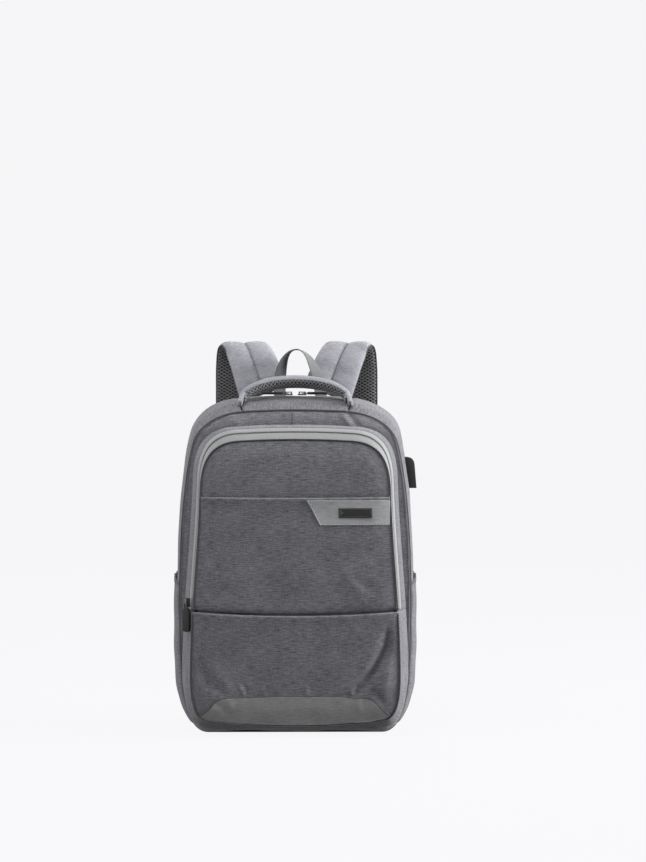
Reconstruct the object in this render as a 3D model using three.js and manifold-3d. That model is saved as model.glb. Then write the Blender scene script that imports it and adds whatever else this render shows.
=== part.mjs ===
// A laptop backpack with a USB charging port on its side, standing closed on its base.
// Millimetres, +Z up. The front pocket faces -Y, the back pads and shoulder straps are at +Y,
// and the origin is on the floor under the main compartment.
// Three groups of pieces move as wholes: the tub (compartment, pocket and side pockets), the back
// (board, pads, straps, hang loop, laptop sleeve) and the flap of the front pocket.

import * as THREE from "three";
import { mergeVertices } from "three/addons/utils/BufferGeometryUtils.js";
import Module from "manifold-3d";

const wasm = await Module();
wasm.setup();

// ---- Driving dimensions ----

const GAP = 0.35; // between pieces that touch
const WALL = 2.6; // padded fabric of the compartment
const CLOTH = 2; // doubled fabric of pockets
const TAPE = 1.2; // zip tape
const FAR = 400; // longer than anything that a cutting box has to pass through

const FRONT_Y = -36; // front edge of the compartment's side wall
const REAR_Y = 59.5; // its rear edge, below the zip's ends
const ZIP_FRONT_Y = 42; // where the side wall stops and the main zip starts
const ZIP_BOTTOM_Z = 45; // where the main zip ends on both sides
const PANEL_SEAM_X = 75; // seams between the top panel and the side panels
const BASE_Z = 14; // top edge of the base panel

const FLAP_Z = 165; // fold line of the pocket flap
const QUICK_Z = 314; // folded edge across the flap
const PATCH_Z = 52; // top edge of the reinforcing patch at the pocket's foot
const POCKET_FRONT_Y = -80; // plane of the pocket's front seam
const FACE_Y = -83.5; // middle of its padded face

const SIDE_POCKET_TOP_Z = 213;
const STRAP_WIDTH = { root: 69, middle: 61, end: 36 };
const WEBBING = 25;

// ---- Colours ----

function material(color, roughness, metalness = 0) {
  return new THREE.MeshStandardMaterial({ color, roughness, metalness });
}

const heather = material(0x6d6d73, 0.9);
const lightTrim = material(0x8a8c8d, 0.8);
const darkTrim = material(0x2c2d30, 0.8);
const mesh = material(0x333436, 0.95);
const webbing = material(0x5a5e5f, 0.8);
const rubber = material(0x1d1d1e, 0.5);
const plastic = material(0x26282a, 0.45);
const metal = material(0x8d8f92, 0.3, 0.9);
const blackMetal = material(0x1f2022, 0.35, 0.6);
const lining = material(0x3b3c40, 0.9);

// ---- Solids ----

// A closed geometry as a manifold-3d solid, turned face out if its profile ran the other way.
function solid(geometry) {
  const plain = geometry.index ? geometry.toNonIndexed() : geometry.clone();
  plain.deleteAttribute("normal");
  plain.deleteAttribute("uv");
  const merged = mergeVertices(plain, 1e-4);
  const triVerts = new Uint32Array(merged.index.array);
  const vertProperties = merged.attributes.position.array;
  const made = new wasm.Manifold(new wasm.Mesh({ numProp: 3, vertProperties, triVerts }));
  if (made.volume() >= 0) return made;
  return new wasm.Manifold(new wasm.Mesh({ numProp: 3, vertProperties, triVerts: triVerts.reverse() }));
}

function geometryOf(made) {
  const { numProp, vertProperties, triVerts } = made.getMesh();
  const positions = new Float32Array(triVerts.length * 3);
  triVerts.forEach((v, i) => {
    positions.set(vertProperties.subarray(v * numProp, v * numProp + 3), i * 3);
  });
  const geometry = new THREE.BufferGeometry();
  geometry.setAttribute("position", new THREE.BufferAttribute(positions, 3));
  return geometry;
}

// A box between two corners.
function box(low, high) {
  const size = high.map((h, i) => h - low[i]);
  const geometry = new THREE.BoxGeometry(...size);
  geometry.translate(...low.map((l, i) => l + size[i] / 2));
  return solid(geometry);
}

const above = (z) => box([-FAR, -FAR, z], [FAR, FAR, FAR * 2]);
const below = (z) => box([-FAR, -FAR, -FAR], [FAR, FAR, z]);
const rightOf = (x) => box([x, -FAR, -FAR], [FAR, FAR, FAR * 2]);
const between = (x0, x1) => box([x0, -FAR, -FAR], [x1, FAR, FAR * 2]);

// Joins rings of points, all of one length, into a closed solid. Each ring is seen whole from its first point.
function loft(rings) {
  const count = rings[0].length;
  const index = [];
  for (let r = 0; r + 1 < rings.length; r++) {
    for (let i = 0; i < count; i++) {
      const [a, b] = [r * count + i, r * count + ((i + 1) % count)];
      index.push(a, b, b + count, a, b + count, a + count);
    }
  }
  const last = (rings.length - 1) * count;
  for (let i = 1; i + 1 < count; i++) {
    index.push(0, i + 1, i, last, last + i, last + i + 1);
  }
  const geometry = new THREE.BufferGeometry().setFromPoints(rings.flat());
  geometry.setIndex(index);
  return solid(geometry);
}

// A flat shape in the XZ plane, filled between two depths.
function plate(outline, y0, y1) {
  return loft([y0, y1].map((y) => outline.map((p) => new THREE.Vector3(p.x, y, p.y))));
}

// ---- Outlines of the bag, seen from the front ----

// Both halves of an outline from the path of its right half, which starts and ends on the centre line.
function bothHalves(path, divisions) {
  const right = path.getPoints(divisions);
  const left = right.slice(1, -1).reverse();
  return [...right, ...left.map((p) => new THREE.Vector2(-p.x, p.y))];
}

// The compartment: a flat foot, sides that swell to 158 mm from the centre, and round shoulders.
function bodyOutline({ inset, top, bottom }) {
  const stretch = (top - bottom) / 450;
  const at = (x, z) => [x - inset, bottom + z * stretch];
  const path = new THREE.Path();
  path.moveTo(0, bottom);
  path.lineTo(...at(122, 0));
  path.bezierCurveTo(...at(144, 0), ...at(154, 35), ...at(158, 110));
  path.bezierCurveTo(...at(162, 190), ...at(160, 325), ...at(143, 398));
  path.bezierCurveTo(...at(138, 428), ...at(108, 446), ...at(70, 448));
  path.quadraticCurveTo(...at(35, 450), 0, top);
  return bothHalves(path, 7);
}

// The front pocket: as wide as the bag at its foot, narrower towards its arched top.
function pocketOutline({ out, top, bottom }) {
  const stretch = (top - bottom) / 377;
  const at = (x, z) => [x * (1 + out / 140), bottom + (z - 14) * stretch];
  const path = new THREE.Path();
  path.moveTo(0, bottom);
  path.quadraticCurveTo(...at(75, 14), ...at(119, 22.5));
  path.bezierCurveTo(...at(131, 26), ...at(137.5, 42), ...at(137.8, 78));
  path.bezierCurveTo(...at(138, 160), ...at(127, 250), ...at(125, 322));
  path.bezierCurveTo(...at(124, 368), ...at(108, 388), ...at(70, 389));
  path.quadraticCurveTo(...at(35, 391), 0, top);
  return bothHalves(path, 7);
}

// How each outline changes with depth.
const BODY_DEPTHS = [
  { y: -36, inset: 5.5, top: 430, bottom: 0 },
  { y: -20, inset: 1.5, top: 441, bottom: 0 },
  { y: 8, inset: 0, top: 450, bottom: 0 },
  { y: 40, inset: 0.5, top: 450, bottom: 0 },
  { y: 60, inset: 5, top: 445, bottom: 0 },
];
const POCKET_DEPTHS = [
  { y: -39.2, out: 14, top: 411.5, bottom: 3 },
  { y: -62, out: 6.5, top: 407.5, bottom: 6 },
  { y: -71, out: 2.6, top: 402, bottom: 10 },
  { y: POCKET_FRONT_Y, out: 0, top: 391, bottom: 14 },
  { y: FACE_Y, out: -22, top: 369, bottom: 33 },
];

// The row of a depth table at any depth, straight between the rows that are given.
function atDepth(table, y) {
  const last = table.length - 1;
  let i = 0;
  while (i < last - 1 && table[i + 1].y * table[i + 1].order < y * table[i + 1].order) i++;
  const [a, b] = [table[i], table[i + 1]];
  const t = (y - a.y) / (b.y - a.y);
  const row = {};
  for (const key of Object.keys(a)) row[key] = a[key] + (b[key] - a[key]) * t;
  return row;
}
for (const table of [BODY_DEPTHS, POCKET_DEPTHS]) {
  const order = Math.sign(table[1].y - table[0].y);
  for (const row of table) row.order = order;
}

// The depths of a table's rows that lie between two depths, with both ends.
function knots(table, y0, y1) {
  const inner = table.map((row) => row.y).filter((y) => (y - y0) * (y - y1) < 0);
  return y0 < y1 ? [y0, ...inner.sort((a, b) => a - b), y1] : [y0, ...inner.sort((a, b) => b - a), y1];
}

// The compartment's form between two depths, grown outwards by a number or by a function of depth.
function bodyForm(y0, y1, grow = 0) {
  const by = typeof grow === "function" ? grow : () => grow;
  const rings = knots(BODY_DEPTHS, y0, y1).map((y) => {
    const row = atDepth(BODY_DEPTHS, y);
    const section = { inset: row.inset - by(y), top: row.top + by(y), bottom: row.bottom - by(y) };
    return bodyOutline(section).map((p) => new THREE.Vector3(p.x, y, p.y));
  });
  return loft(rings);
}

function pocketForm(y0, y1, grow = 0) {
  const rings = knots(POCKET_DEPTHS, y0, y1).map((y) => {
    const row = atDepth(POCKET_DEPTHS, y);
    const section = { out: row.out + grow, top: row.top + grow, bottom: row.bottom - grow };
    return pocketOutline(section).map((p) => new THREE.Vector3(p.x, y, p.y));
  });
  return loft(rings);
}

// A band of cloth that runs round a form between two depths, its outer face grown by `grow`.
const OVERRUN = 0.5; // how far a cutting form passes the faces that it cuts
function bodyBand(y0, y1, wall, grow = 0) {
  return bodyForm(y0, y1, grow).subtract(bodyForm(y0 - OVERRUN, y1 + OVERRUN, grow - wall));
}
function pocketBand(y0, y1, wall, grow = 0) {
  const way = Math.sign(y1 - y0);
  return pocketForm(y0, y1, grow).subtract(
    pocketForm(y0 - way * OVERRUN, y1 + way * OVERRUN, grow - wall),
  );
}

// ---- Straps and loops: a section carried along a row of places ----

// A rounded rectangle as eight points, its width along u and its thickness along v.
function section(centre, u, v, width, thickness) {
  const cornerShare = 0.3;
  const [w, t] = [width / 2, thickness / 2];
  const corner = Math.min(w, t) * cornerShare;
  const outline = [
    [-w + corner, -t], [w - corner, -t], [w, -t + corner], [w, t - corner],
    [w - corner, t], [-w + corner, t], [-w, t - corner], [-w, -t + corner],
  ];
  return outline.map(([a, b]) => centre.clone().addScaledVector(u, a).addScaledVector(v, b));
}

const X_AXIS = new THREE.Vector3(1, 0, 0);

// ---- The group and its pieces ----

const backpack = new THREE.Group();

function piece(name, made, look) {
  const shown = new THREE.Mesh(geometryOf(made), look);
  shown.name = name;
  backpack.add(shown);
  return made;
}

const mirrored = (made) => made.mirror([1, 0, 0]);

// One piece on the wearer's left (+X here) and its mirror image on the right (-X).
function pair(name, made, look) {
  piece(`${name}_left`, made, look);
  piece(`${name}_right`, mirrored(made), look);
}

// ---- Compartment ----

function compartment() {
  const wall = bodyBand(FRONT_Y, REAR_Y, WALL);
  const rear = box([-FAR, ZIP_FRONT_Y, ZIP_BOTTOM_Z - 1], [FAR, FAR, FAR * 2]);
  const tub = wall.subtract(rear);
  const topZ = 330; // no part of the top panel comes below this
  piece("top_panel", tub.intersect(between(-PANEL_SEAM_X, PANEL_SEAM_X)).intersect(above(topZ)), heather);
  const side = tub.intersect(above(BASE_Z)).intersect(rightOf(0));
  const topCut = box([-FAR, -FAR, topZ], [PANEL_SEAM_X + GAP, FAR, FAR * 2]);
  const portHole = box([140, 0, 334], [158, 10, 352]);
  piece("side_panel_left", side.subtract(topCut).subtract(portHole), heather);
  piece("side_panel_right", mirrored(side.subtract(topCut)), heather);
  piece("base_panel", tub.intersect(below(BASE_Z - GAP)), heather);

  const faceBack = FRONT_Y - GAP;
  const face = bodyOutline({ inset: 6.5, top: 429, bottom: 1 });
  piece("main_front_panel", plate(face, faceBack - 2.2, faceBack), heather);
  const pipingInset = 6.5 - GAP;
  const outer = bodyOutline({ inset: pipingInset - 2.6, top: 431.5, bottom: 0 });
  const inner = bodyOutline({ inset: pipingInset, top: 429 + GAP, bottom: -1 });
  const piping = plate(outer, faceBack - 2.4, faceBack).subtract(plate(inner, -FAR, FAR));
  piece("main_front_piping", piping.intersect(above(BASE_Z)), darkTrim);
}

// ---- Main zip, over the top from one side's foot to the other's ----

const MAIN_COIL_Y = 47.7;

function mainZip() {
  const up = above(ZIP_BOTTOM_Z);
  piece("main_zip_tape_front", bodyBand(ZIP_FRONT_Y + GAP, 46, TAPE).intersect(up), darkTrim);
  piece("main_zip_coil", bodyBand(46 + GAP, 49, 2.2, 0.5).intersect(up), darkTrim);
  piece("main_zip_tape_rear", bodyBand(49 + GAP, 53, TAPE).intersect(up), darkTrim);
}

// A slider with a raised bridge, standing on z = 0 and running along X.
function sliderBody(length, width) {
  const plateThickness = 1.8;
  const bridgeWidth = 3;
  const base = box([-length / 2, -width / 2, 0], [length / 2, width / 2, plateThickness]);
  const foot = (x) => box([x - 1, -bridgeWidth / 2, plateThickness - 0.5], [x + 1, bridgeWidth / 2, 5]);
  const bar = box([-length / 2 + 1, -bridgeWidth / 2, 3.8], [length / 2 - 1, bridgeWidth / 2, 5]);
  return base.add(foot(-length / 2 + 2)).add(foot(length / 2 - 2)).add(bar);
}

// A moulded pull with a wire eye, lying along -X from the point where the eye passes under the bridge.
const EYE = { radius: 3.6, wire: 0.7 };

function pullBody(length, width, thickness) {
  const eye = new THREE.TorusGeometry(EYE.radius, EYE.wire, 6, 12);
  eye.translate(-EYE.radius, 0, 0);
  const grip = new THREE.Shape();
  const half = width / 2;
  const neck = -2 * EYE.radius - 0.6;
  grip.moveTo(neck, -half * 0.55);
  grip.lineTo(neck - 3, -half);
  grip.lineTo(-length + half * 0.8, -half);
  grip.quadraticCurveTo(-length, -half, -length, 0);
  grip.quadraticCurveTo(-length, half, -length + half * 0.8, half);
  grip.lineTo(neck - 3, half);
  grip.lineTo(neck, half * 0.55);
  const bevel = { depth: thickness - 1.6, bevelSize: 0.8, bevelThickness: 0.8, bevelSegments: 1 };
  const geometry = new THREE.ExtrudeGeometry(grip, { ...bevel, curveSegments: 4 });
  geometry.translate(0, 0, -(thickness - 1.6) / 2);
  return solid(eye).add(solid(geometry));
}
const UNDER_BRIDGE = 2.8; // height of the eye's wire above the foot of the slider

function mainSliders() {
  const zipTop = 450;
  const standOff = 1; // the coil's crown and a running gap
  const foot = zipTop + standOff;
  pair("main_slider", sliderBody(12, 9).translate([9.5, MAIN_COIL_Y, foot]), blackMetal);
  const pull = mirrored(pullBody(36, 8, 3.6));
  pair("main_pull", pull.translate([9.2, MAIN_COIL_Y, foot + UNDER_BRIDGE]), rubber);
}

// ---- Front pocket ----

function frontPocket() {
  const up = above(FLAP_Z + 1);
  const front = POCKET_FRONT_Y;
  const gusset = pocketBand(-39.2, -62, CLOTH);
  const lowerGusset = pocketBand(-62, front + 1, CLOTH).intersect(below(FLAP_Z));
  piece("front_pocket_gusset", gusset.add(lowerGusset), heather);
  piece("front_zip_tape_gusset", pocketBand(-62 - GAP, -69, TAPE).intersect(up), lightTrim);
  piece("front_zip_coil", pocketBand(-69 - GAP, -71.5, 1.6).intersect(up), darkTrim);
  const flapUp = above(FLAP_Z + 4);
  piece("front_zip_tape_flap", pocketBand(-71.5 - GAP, front + 1, TAPE, -2.4).intersect(flapUp), lightTrim);

  const piping = pocketBand(front + 1 - GAP, front - 1.2, 2.4, 0);
  piece("flap_piping", piping.intersect(above(FLAP_Z + 1.5)), darkTrim);
  piece("foot_piping", piping.intersect(below(FLAP_Z - 2.5)), darkTrim);

  const behind = box([-FAR, front, -FAR], [FAR, FAR, FAR * 2]);
  const skin = panelForm().subtract(behind);
  piece("flap_upper_panel", skin.intersect(above(QUICK_Z + GAP)), heather);
  piece("flap_lower_panel", skin.intersect(above(FLAP_Z + 1)).intersect(below(QUICK_Z)), heather);
  const foot = skin.intersect(below(FLAP_Z - 2));
  piece("foot_panel", foot.subtract(patchForm(GAP)), heather);
  piece("foot_patch", foot.intersect(patchForm(0)), lightTrim);
}

// The reinforcing patch at the pocket's foot: a trapezoid whose slanted ends run into the pocket's lower corners.
function patchForm(grow) {
  const [shoulder, corner, cornerZ] = [96, 127, 23];
  const right = [[shoulder + grow, PATCH_Z + grow], [corner + grow, cornerZ + grow], [corner + grow, 0]];
  const left = right.map(([x, z]) => [-x, z]).reverse();
  const outline = [...left, ...right].map(([x, z]) => new THREE.Vector2(x, z));
  return plate(outline, FACE_Y - 5, POCKET_FRONT_Y + 5);
}

// The padded face of the pocket, inside its piping.
function panelForm() {
  return pocketForm(POCKET_FRONT_Y + 1, FACE_Y, -2.4 - GAP);
}

// The trapezoid patch, which runs out to the flap's edge, and its badge, sewn on under the folded edge.
function badge() {
  const [left, right, top, drop, slant] = [16, 150, QUICK_Z - 3, 34, 18];
  const outline = [
    [left, top],
    [left + slant, top - drop],
    [right, top - drop],
    [right, top],
  ].map(([x, z]) => new THREE.Vector2(x, z));
  const thickness = 1;
  const outer = panelForm().translate([0, -GAP - thickness, 0]);
  const inner = panelForm().translate([0, -GAP, 0]);
  const shape = plate(outline, FACE_Y - 5, POCKET_FRONT_Y - 1.6);
  piece("badge_patch", outer.subtract(inner).intersect(shape), lightTrim);
  const [width, height, centreX, centreZ] = [44, 12.4, 78.6, 295];
  const plateY = FACE_Y - 2 * GAP - thickness;
  const low = [centreX - width / 2, plateY - 1.6, centreZ - height / 2];
  const high = [centreX + width / 2, plateY, centreZ + height / 2];
  piece("badge_plate", box(low, high), blackMetal);
}

// The pocket's slider and pull, on the coil at the right-hand end of the zip (-X), turned out to the front.
const FRONT_SLIDER = { x: -141.6, y: -72.5, z: 177, turn: 60 };

function frontSlider() {
  const upright = (made) => made.rotate([0, -90, 0]); // its length along Z, its bridge towards -X
  const place = (made) => upright(made).rotate([0, 0, FRONT_SLIDER.turn]);
  const at = [FRONT_SLIDER.x, FRONT_SLIDER.y, FRONT_SLIDER.z];
  piece("front_slider", place(sliderBody(12, 9)).translate(at), blackMetal);
  const pull = pullBody(38, 9.5, 4.4).translate([0, 0, UNDER_BRIDGE]);
  piece("front_pull", place(pull).translate(at), rubber);
}

// ---- Side pockets ----

function sidePockets() {
  const [frontY, rearY, bulge, footZ] = [-33, 38, 9, BASE_Z];
  const swell = (rim) => (y) => {
    const t = (y - frontY) / (rearY - frontY);
    return rim + (bulge - 3) * Math.sin(Math.PI * Math.min(1, Math.max(0, t)));
  };
  const outer = sweptForm(frontY, rearY, swell(3));
  const hollow = sweptForm(frontY + CLOTH, rearY - CLOTH, swell(3 - CLOTH));
  const body = bodyForm(FRONT_Y, REAR_Y, GAP);
  const lowFront = 14; // the front corner of the top edge is this much lower than the rear
  const slope = Math.atan2(lowFront, rearY - frontY);
  const lid = (z) => {
    const half = box([0, -FAR, 0], [FAR, FAR, FAR]).rotate([THREE.MathUtils.radToDeg(slope), 0, 0]);
    return half.translate([0, rearY, z]);
  };
  const inside = hollow.intersect(above(footZ + CLOTH));
  const shell = outer.intersect(above(footZ)).intersect(rightOf(60)).subtract(inside).subtract(body);
  const hem = 8;
  const pocket = shell.subtract(lid(SIDE_POCKET_TOP_Z - hem - GAP));
  const binding = shell.subtract(lid(SIDE_POCKET_TOP_Z)).intersect(lid(SIDE_POCKET_TOP_Z - hem));
  pair("side_pocket", largest(pocket), heather);
  pair("side_pocket_binding", largest(binding), darkTrim);
}

// The compartment's form with enough depths to follow a swell.
function sweptForm(y0, y1, grow) {
  const steps = 6;
  const rings = [];
  for (let i = 0; i <= steps; i++) {
    const y = y0 + ((y1 - y0) * i) / steps;
    const row = atDepth(BODY_DEPTHS, y);
    const by = grow(y);
    const outline = bodyOutline({ inset: row.inset - by, top: row.top + by, bottom: row.bottom - by });
    rings.push(outline.map((p) => new THREE.Vector3(p.x, y, p.y)));
  }
  return loft(rings);
}

// The largest of a solid's separate bodies, so that a sliver left by a cut is dropped.
function largest(made) {
  return made.decompose().sort((a, b) => b.volume() - a.volume())[0];
}

// ---- USB port, on the wearer's left-hand side wall (+X) ----

function usbPort() {
  const [y0, y1] = [-6, 16];
  const profile = new THREE.Shape();
  profile.moveTo(140, 367);
  profile.lineTo(152, 367);
  profile.quadraticCurveTo(160, 366, 161, 357);
  profile.lineTo(163.6, 325);
  profile.lineTo(140, 325);
  const outline = profile.getPoints(5);
  const outside = bodyForm(FRONT_Y, REAR_Y, GAP);
  const middle = (y0 + y1) / 2;
  const [mouthWide, mouthDeep] = [16, 6.6];
  const mouthX = 157.4;
  const hole = (grow, z0, z1) =>
    box(
      [mouthX - mouthDeep / 2 - grow, middle - mouthWide / 2 - grow, z0],
      [mouthX + mouthDeep / 2 + grow, middle + mouthWide / 2 + grow, z1],
    );
  const housing = plate(outline, y0, y1).subtract(outside).subtract(hole(0, 300, 348));
  piece("usb_port_housing", largest(housing), plastic);
  const shellGap = -GAP;
  const sheet = 0.6;
  const shell = hole(shellGap, 333, 347.6).subtract(hole(shellGap - sheet, 300, 347));
  piece("usb_port_socket", shell, metal);
  const tongue = box([mouthX - 0.9, middle - 5.6, 335], [mouthX + 0.9, middle + 5.6, 346.6]);
  piece("usb_port_tongue", tongue, plastic);
  const inside = bodyForm(FRONT_Y, REAR_Y, -WALL - GAP);
  const clampForm = bodyForm(FRONT_Y, REAR_Y, -WALL - GAP - 2.5);
  const washer = inside.subtract(clampForm).intersect(box([100, y0 - 3, 322], [200, y1 + 3, 370]));
  piece("usb_port_washer", largest(washer), plastic);
}

// ---- Carry handle ----

const HANDLE = { y: -14, z: 447, halfSpan: 71, rise: 22.5, lean: THREE.MathUtils.degToRad(22) };

function handle() {
  const { halfSpan, rise, lean } = HANDLE;
  const up = new THREE.Vector3(0, Math.sin(lean), Math.cos(lean));
  const across = new THREE.Vector3(0, Math.cos(lean), -Math.sin(lean));
  const origin = new THREE.Vector3(0, HANDLE.y, HANDLE.z);
  const half = new THREE.CubicBezierCurve(
    new THREE.Vector2(-halfSpan, 0),
    new THREE.Vector2(-halfSpan + 8, rise * 0.62),
    new THREE.Vector2(-halfSpan * 0.45, rise),
    new THREE.Vector2(0, rise),
  );
  const steps = 9;
  const stations = half.getPoints(steps).map((p, i) => ({ p, slope: half.getTangent(i / steps) }));
  for (const { p, slope } of stations.slice(0, -1).reverse()) {
    stations.push({ p: new THREE.Vector2(-p.x, p.y), slope: new THREE.Vector2(slope.x, -slope.y) });
  }
  const strip = (offset, thickness, margin) =>
    loft(
      stations.map(({ p, slope }) => {
        const normal = new THREE.Vector3(-slope.y, 0, 0).addScaledVector(up, slope.x).normalize();
        const centre = origin.clone().addScaledVector(X_AXIS, p.x).addScaledVector(up, p.y);
        const full = 1 - (Math.abs(p.x) / halfSpan) ** 6;
        const width = 13 + 13 * full - margin;
        const depth = thickness * (0.72 + 0.28 * full);
        return section(centre.addScaledVector(normal, offset), across, normal, width, depth);
      }),
    );
  piece("carry_handle_cover", strip(2.4, 7, 0), heather);
  piece("carry_handle_mesh", strip(-3.2, 3.4, 2), mesh);
  const anchor = box([halfSpan + 5, HANDLE.y - 9, 420], [halfSpan + 10, HANDLE.y + 9, HANDLE.z + 3.5]);
  pair("handle_anchor", anchor.subtract(bodyForm(FRONT_Y, REAR_Y, GAP)), heather);
}

// ---- Back: board, side band, pads, yoke of the straps ----

function back() {
  const band = bodyBand(53 + GAP, REAR_Y, WALL).intersect(above(ZIP_BOTTOM_Z));
  piece("back_band", band, heather);
  const boardY = REAR_Y + GAP + 0.3;
  const board = bodyOutline({ inset: 5.5, top: 444.5, bottom: 3 });
  piece("back_board", plate(board, boardY, boardY + 6), lining);
  const padY = boardY + 6 + GAP;
  const chamfer = 5;
  const pad = (x0, x1, z0, z1, depth) => {
    const ring = (inset, y) => [
      [x0 + inset, z0 + inset], [x1 - inset, z0 + inset],
      [x1 - inset, z1 - inset], [x0 + inset, z1 - inset],
    ].map(([x, z]) => new THREE.Vector3(x, y, z));
    return loft([ring(0, padY), ring(0, padY + depth - chamfer), ring(chamfer, padY + depth)]);
  };
  pair("back_pad", pad(10, 110, 150, 408, 14), mesh);
  piece("lumbar_pad", pad(-101, 101, 32, 138, 14), mesh);
}

// ---- Laptop sleeve, sewn to the back board inside the compartment ----

function sleeve() {
  const [half, frontY, footZ, rimZ, wall] = [120, 32, 18, 285, 3.5];
  const outer = box([-half, frontY, footZ], [half, REAR_Y, rimZ]);
  const inner = box([-half + wall, frontY + wall, footZ + wall], [half - wall, REAR_Y + 5, FAR * 2]);
  piece("laptop_sleeve", outer.subtract(inner), lining);
  const [bandHalf, bandZ, bandFoot, band] = [16, 292, 258, 1.8];
  const over = box([-bandHalf, frontY - GAP - band, bandZ], [bandHalf, REAR_Y, bandZ + band]);
  const down = box([-bandHalf, frontY - GAP - band, bandFoot], [bandHalf, frontY - GAP, bandZ + band]);
  piece("sleeve_strap", over.add(down), darkTrim);
}

// ---- Hang loop: webbing that twists a quarter turn on its way over ----

const LOOP = { y: 64, z: 447.5, halfSpan: 30, rise: 67 };

function hangLoop() {
  const steps = 20;
  const rings = [];
  for (let i = 0; i <= steps; i++) {
    const angle = Math.PI * (1 - i / steps);
    const centre = new THREE.Vector3(
      LOOP.halfSpan * Math.cos(angle),
      LOOP.y,
      LOOP.z + LOOP.rise * Math.sin(angle),
    );
    const along = new THREE.Vector3(
      LOOP.halfSpan * Math.sin(angle),
      0,
      -LOOP.rise * Math.cos(angle),
    ).normalize();
    const outward = new THREE.Vector3().crossVectors(new THREE.Vector3(0, -1, 0), along);
    const share = 0.22 + 0.78 * Math.sin(angle) ** 2; // 20 degrees at the feet, edge-on at the top
    const twist = (share * Math.PI) / 2;
    const width = new THREE.Vector3(0, Math.sin(twist), 0);
    width.addScaledVector(outward, Math.cos(twist) * Math.sign(Math.cos(angle) || 1));
    const face = new THREE.Vector3().crossVectors(along, width);
    const waist = 0.8 + 0.2 * Math.sin(angle); // the feet are folded a little
    rings.push(section(centre, width, face, 20 * waist, 1.8));
  }
  piece("hang_loop", loft(rings), webbing);
}

// ---- Shoulder straps ----

// The middle line of the left strap: how far it is from the bag's centre, its depth and its height.
const STRAP_LINE = [
  [41, 75, 453], [48, 79, 478], [57, 89, 504], [68, 105, 520], [76, 121, 514],
  [80.5, 131, 492], [82, 134, 455], [83, 133, 400], [85, 128, 340], [89.5, 120, 280], [94, 110, 232],
].map((p) => new THREE.Vector3(...p));

function straps() {
  const line = new THREE.CatmullRomCurve3(STRAP_LINE, false, "centripetal");
  const steps = 24;
  const taperFrom = 0.62; // share of the way down at which the strap starts to narrow
  const strip = (offset, thickness, margin) => {
    const rings = [];
    for (let i = 0; i <= steps; i++) {
      const t = i / steps;
      const centre = line.getPoint(t);
      const along = line.getTangent(t);
      const outward = new THREE.Vector3(0, -along.z, along.y).normalize();
      if (i === 0) outward.set(0, -1, 0); // the root is cut level
      const { root, middle, end } = STRAP_WIDTH;
      const wide = Math.max(0, 1 - t / 0.2) * (root - middle);
      const narrow = Math.max(0, (t - taperFrom) / (1 - taperFrom)) ** 1.4 * (middle - end);
      const width = middle + wide - narrow - margin;
      rings.push(section(centre.addScaledVector(outward, offset), X_AXIS, outward, width, thickness));
    }
    return loft(rings);
  };
  pair("strap_cover", strip(2.2, 7.6, 0), heather);
  pair("strap_mesh", strip(-3.9, 3.8, 3), mesh);

  const yoke = [[-76, 424], [76, 424], [74, 450.5], [-74, 450.5]];
  const yokeOutline = yoke.map(([x, z]) => new THREE.Vector2(x, z));
  piece("strap_yoke", plate(yokeOutline, 70.5, 79), heather);
}

// The adjuster: a ladder-lock buckle on the strap's end, the webbing below it, its loose tail, and the tab.
const BUCKLE = { x: 95.5, y: 105.5, z: 212 };

function adjusters() {
  const [half, tall, thick] = [18, 24, 4];
  const frame = new THREE.Shape();
  frame.moveTo(-half, -tall / 2);
  frame.lineTo(half, -tall / 2);
  frame.lineTo(half - 1, tall / 2);
  frame.lineTo(-half + 1, tall / 2);
  const slot = (z0, z1) => {
    const hole = new THREE.Path();
    const wide = 13.5;
    hole.moveTo(-wide, z0);
    hole.lineTo(-wide, z1);
    hole.lineTo(wide, z1);
    hole.lineTo(wide, z0);
    return hole;
  };
  frame.holes.push(slot(4, 9), slot(-3, 1.5), slot(-9, -5));
  const geometry = new THREE.ExtrudeGeometry(frame, { depth: thick, bevelEnabled: false });
  geometry.translate(0, 0, -thick / 2);
  geometry.rotateX(Math.PI / 2);
  geometry.rotateX(BUCKLE_TILT);
  geometry.translate(BUCKLE.x, BUCKLE.y, BUCKLE.z);
  pair("ladder_lock", solid(geometry), plastic);

  const flat = (points, thickness) => {
    const line = new THREE.CatmullRomCurve3(points.map((p) => new THREE.Vector3(...p)));
    const steps = 10;
    const rings = [];
    for (let i = 0; i <= steps; i++) {
      const along = line.getTangent(i / steps);
      const outward = new THREE.Vector3(0, -along.z, along.y).normalize();
      rings.push(section(line.getPoint(i / steps), X_AXIS, outward, WEBBING, thickness));
    }
    return loft(rings);
  };
  pair("strap_webbing", flat([[97, 99.5, 192], [105, 94, 158], [117, 84, 118], [127, 77, 92], [130.5, 75.4, 79]], 1.6), webbing);
  pair("strap_tail", flat([[97, 106, 194], [99, 108, 160], [100, 108, 125], [100, 106, 92]], 1.6), webbing);
  const tab = [[110, 30], [146, 48], [144, 77], [117, 77]].map(([x, z]) => new THREE.Vector2(x, z));
  pair("strap_tab", plate(tab, 66.6, 72), heather);
}
const BUCKLE_TILT = THREE.MathUtils.degToRad(12);

compartment();
mainZip();
mainSliders();
frontPocket();
badge();
frontSlider();
sidePockets();
usbPort();
handle();
back();
sleeve();
hangLoop();
straps();
adjusters();

export default backpack;
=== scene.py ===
"""A laptop backpack in heathered grey cloth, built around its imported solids. Metres, +Z up, pocket towards -Y."""

import math
from contextlib import contextmanager

import bmesh
import bpy
import numpy as np
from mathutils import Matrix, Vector
from mathutils.bvhtree import BVHTree


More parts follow.
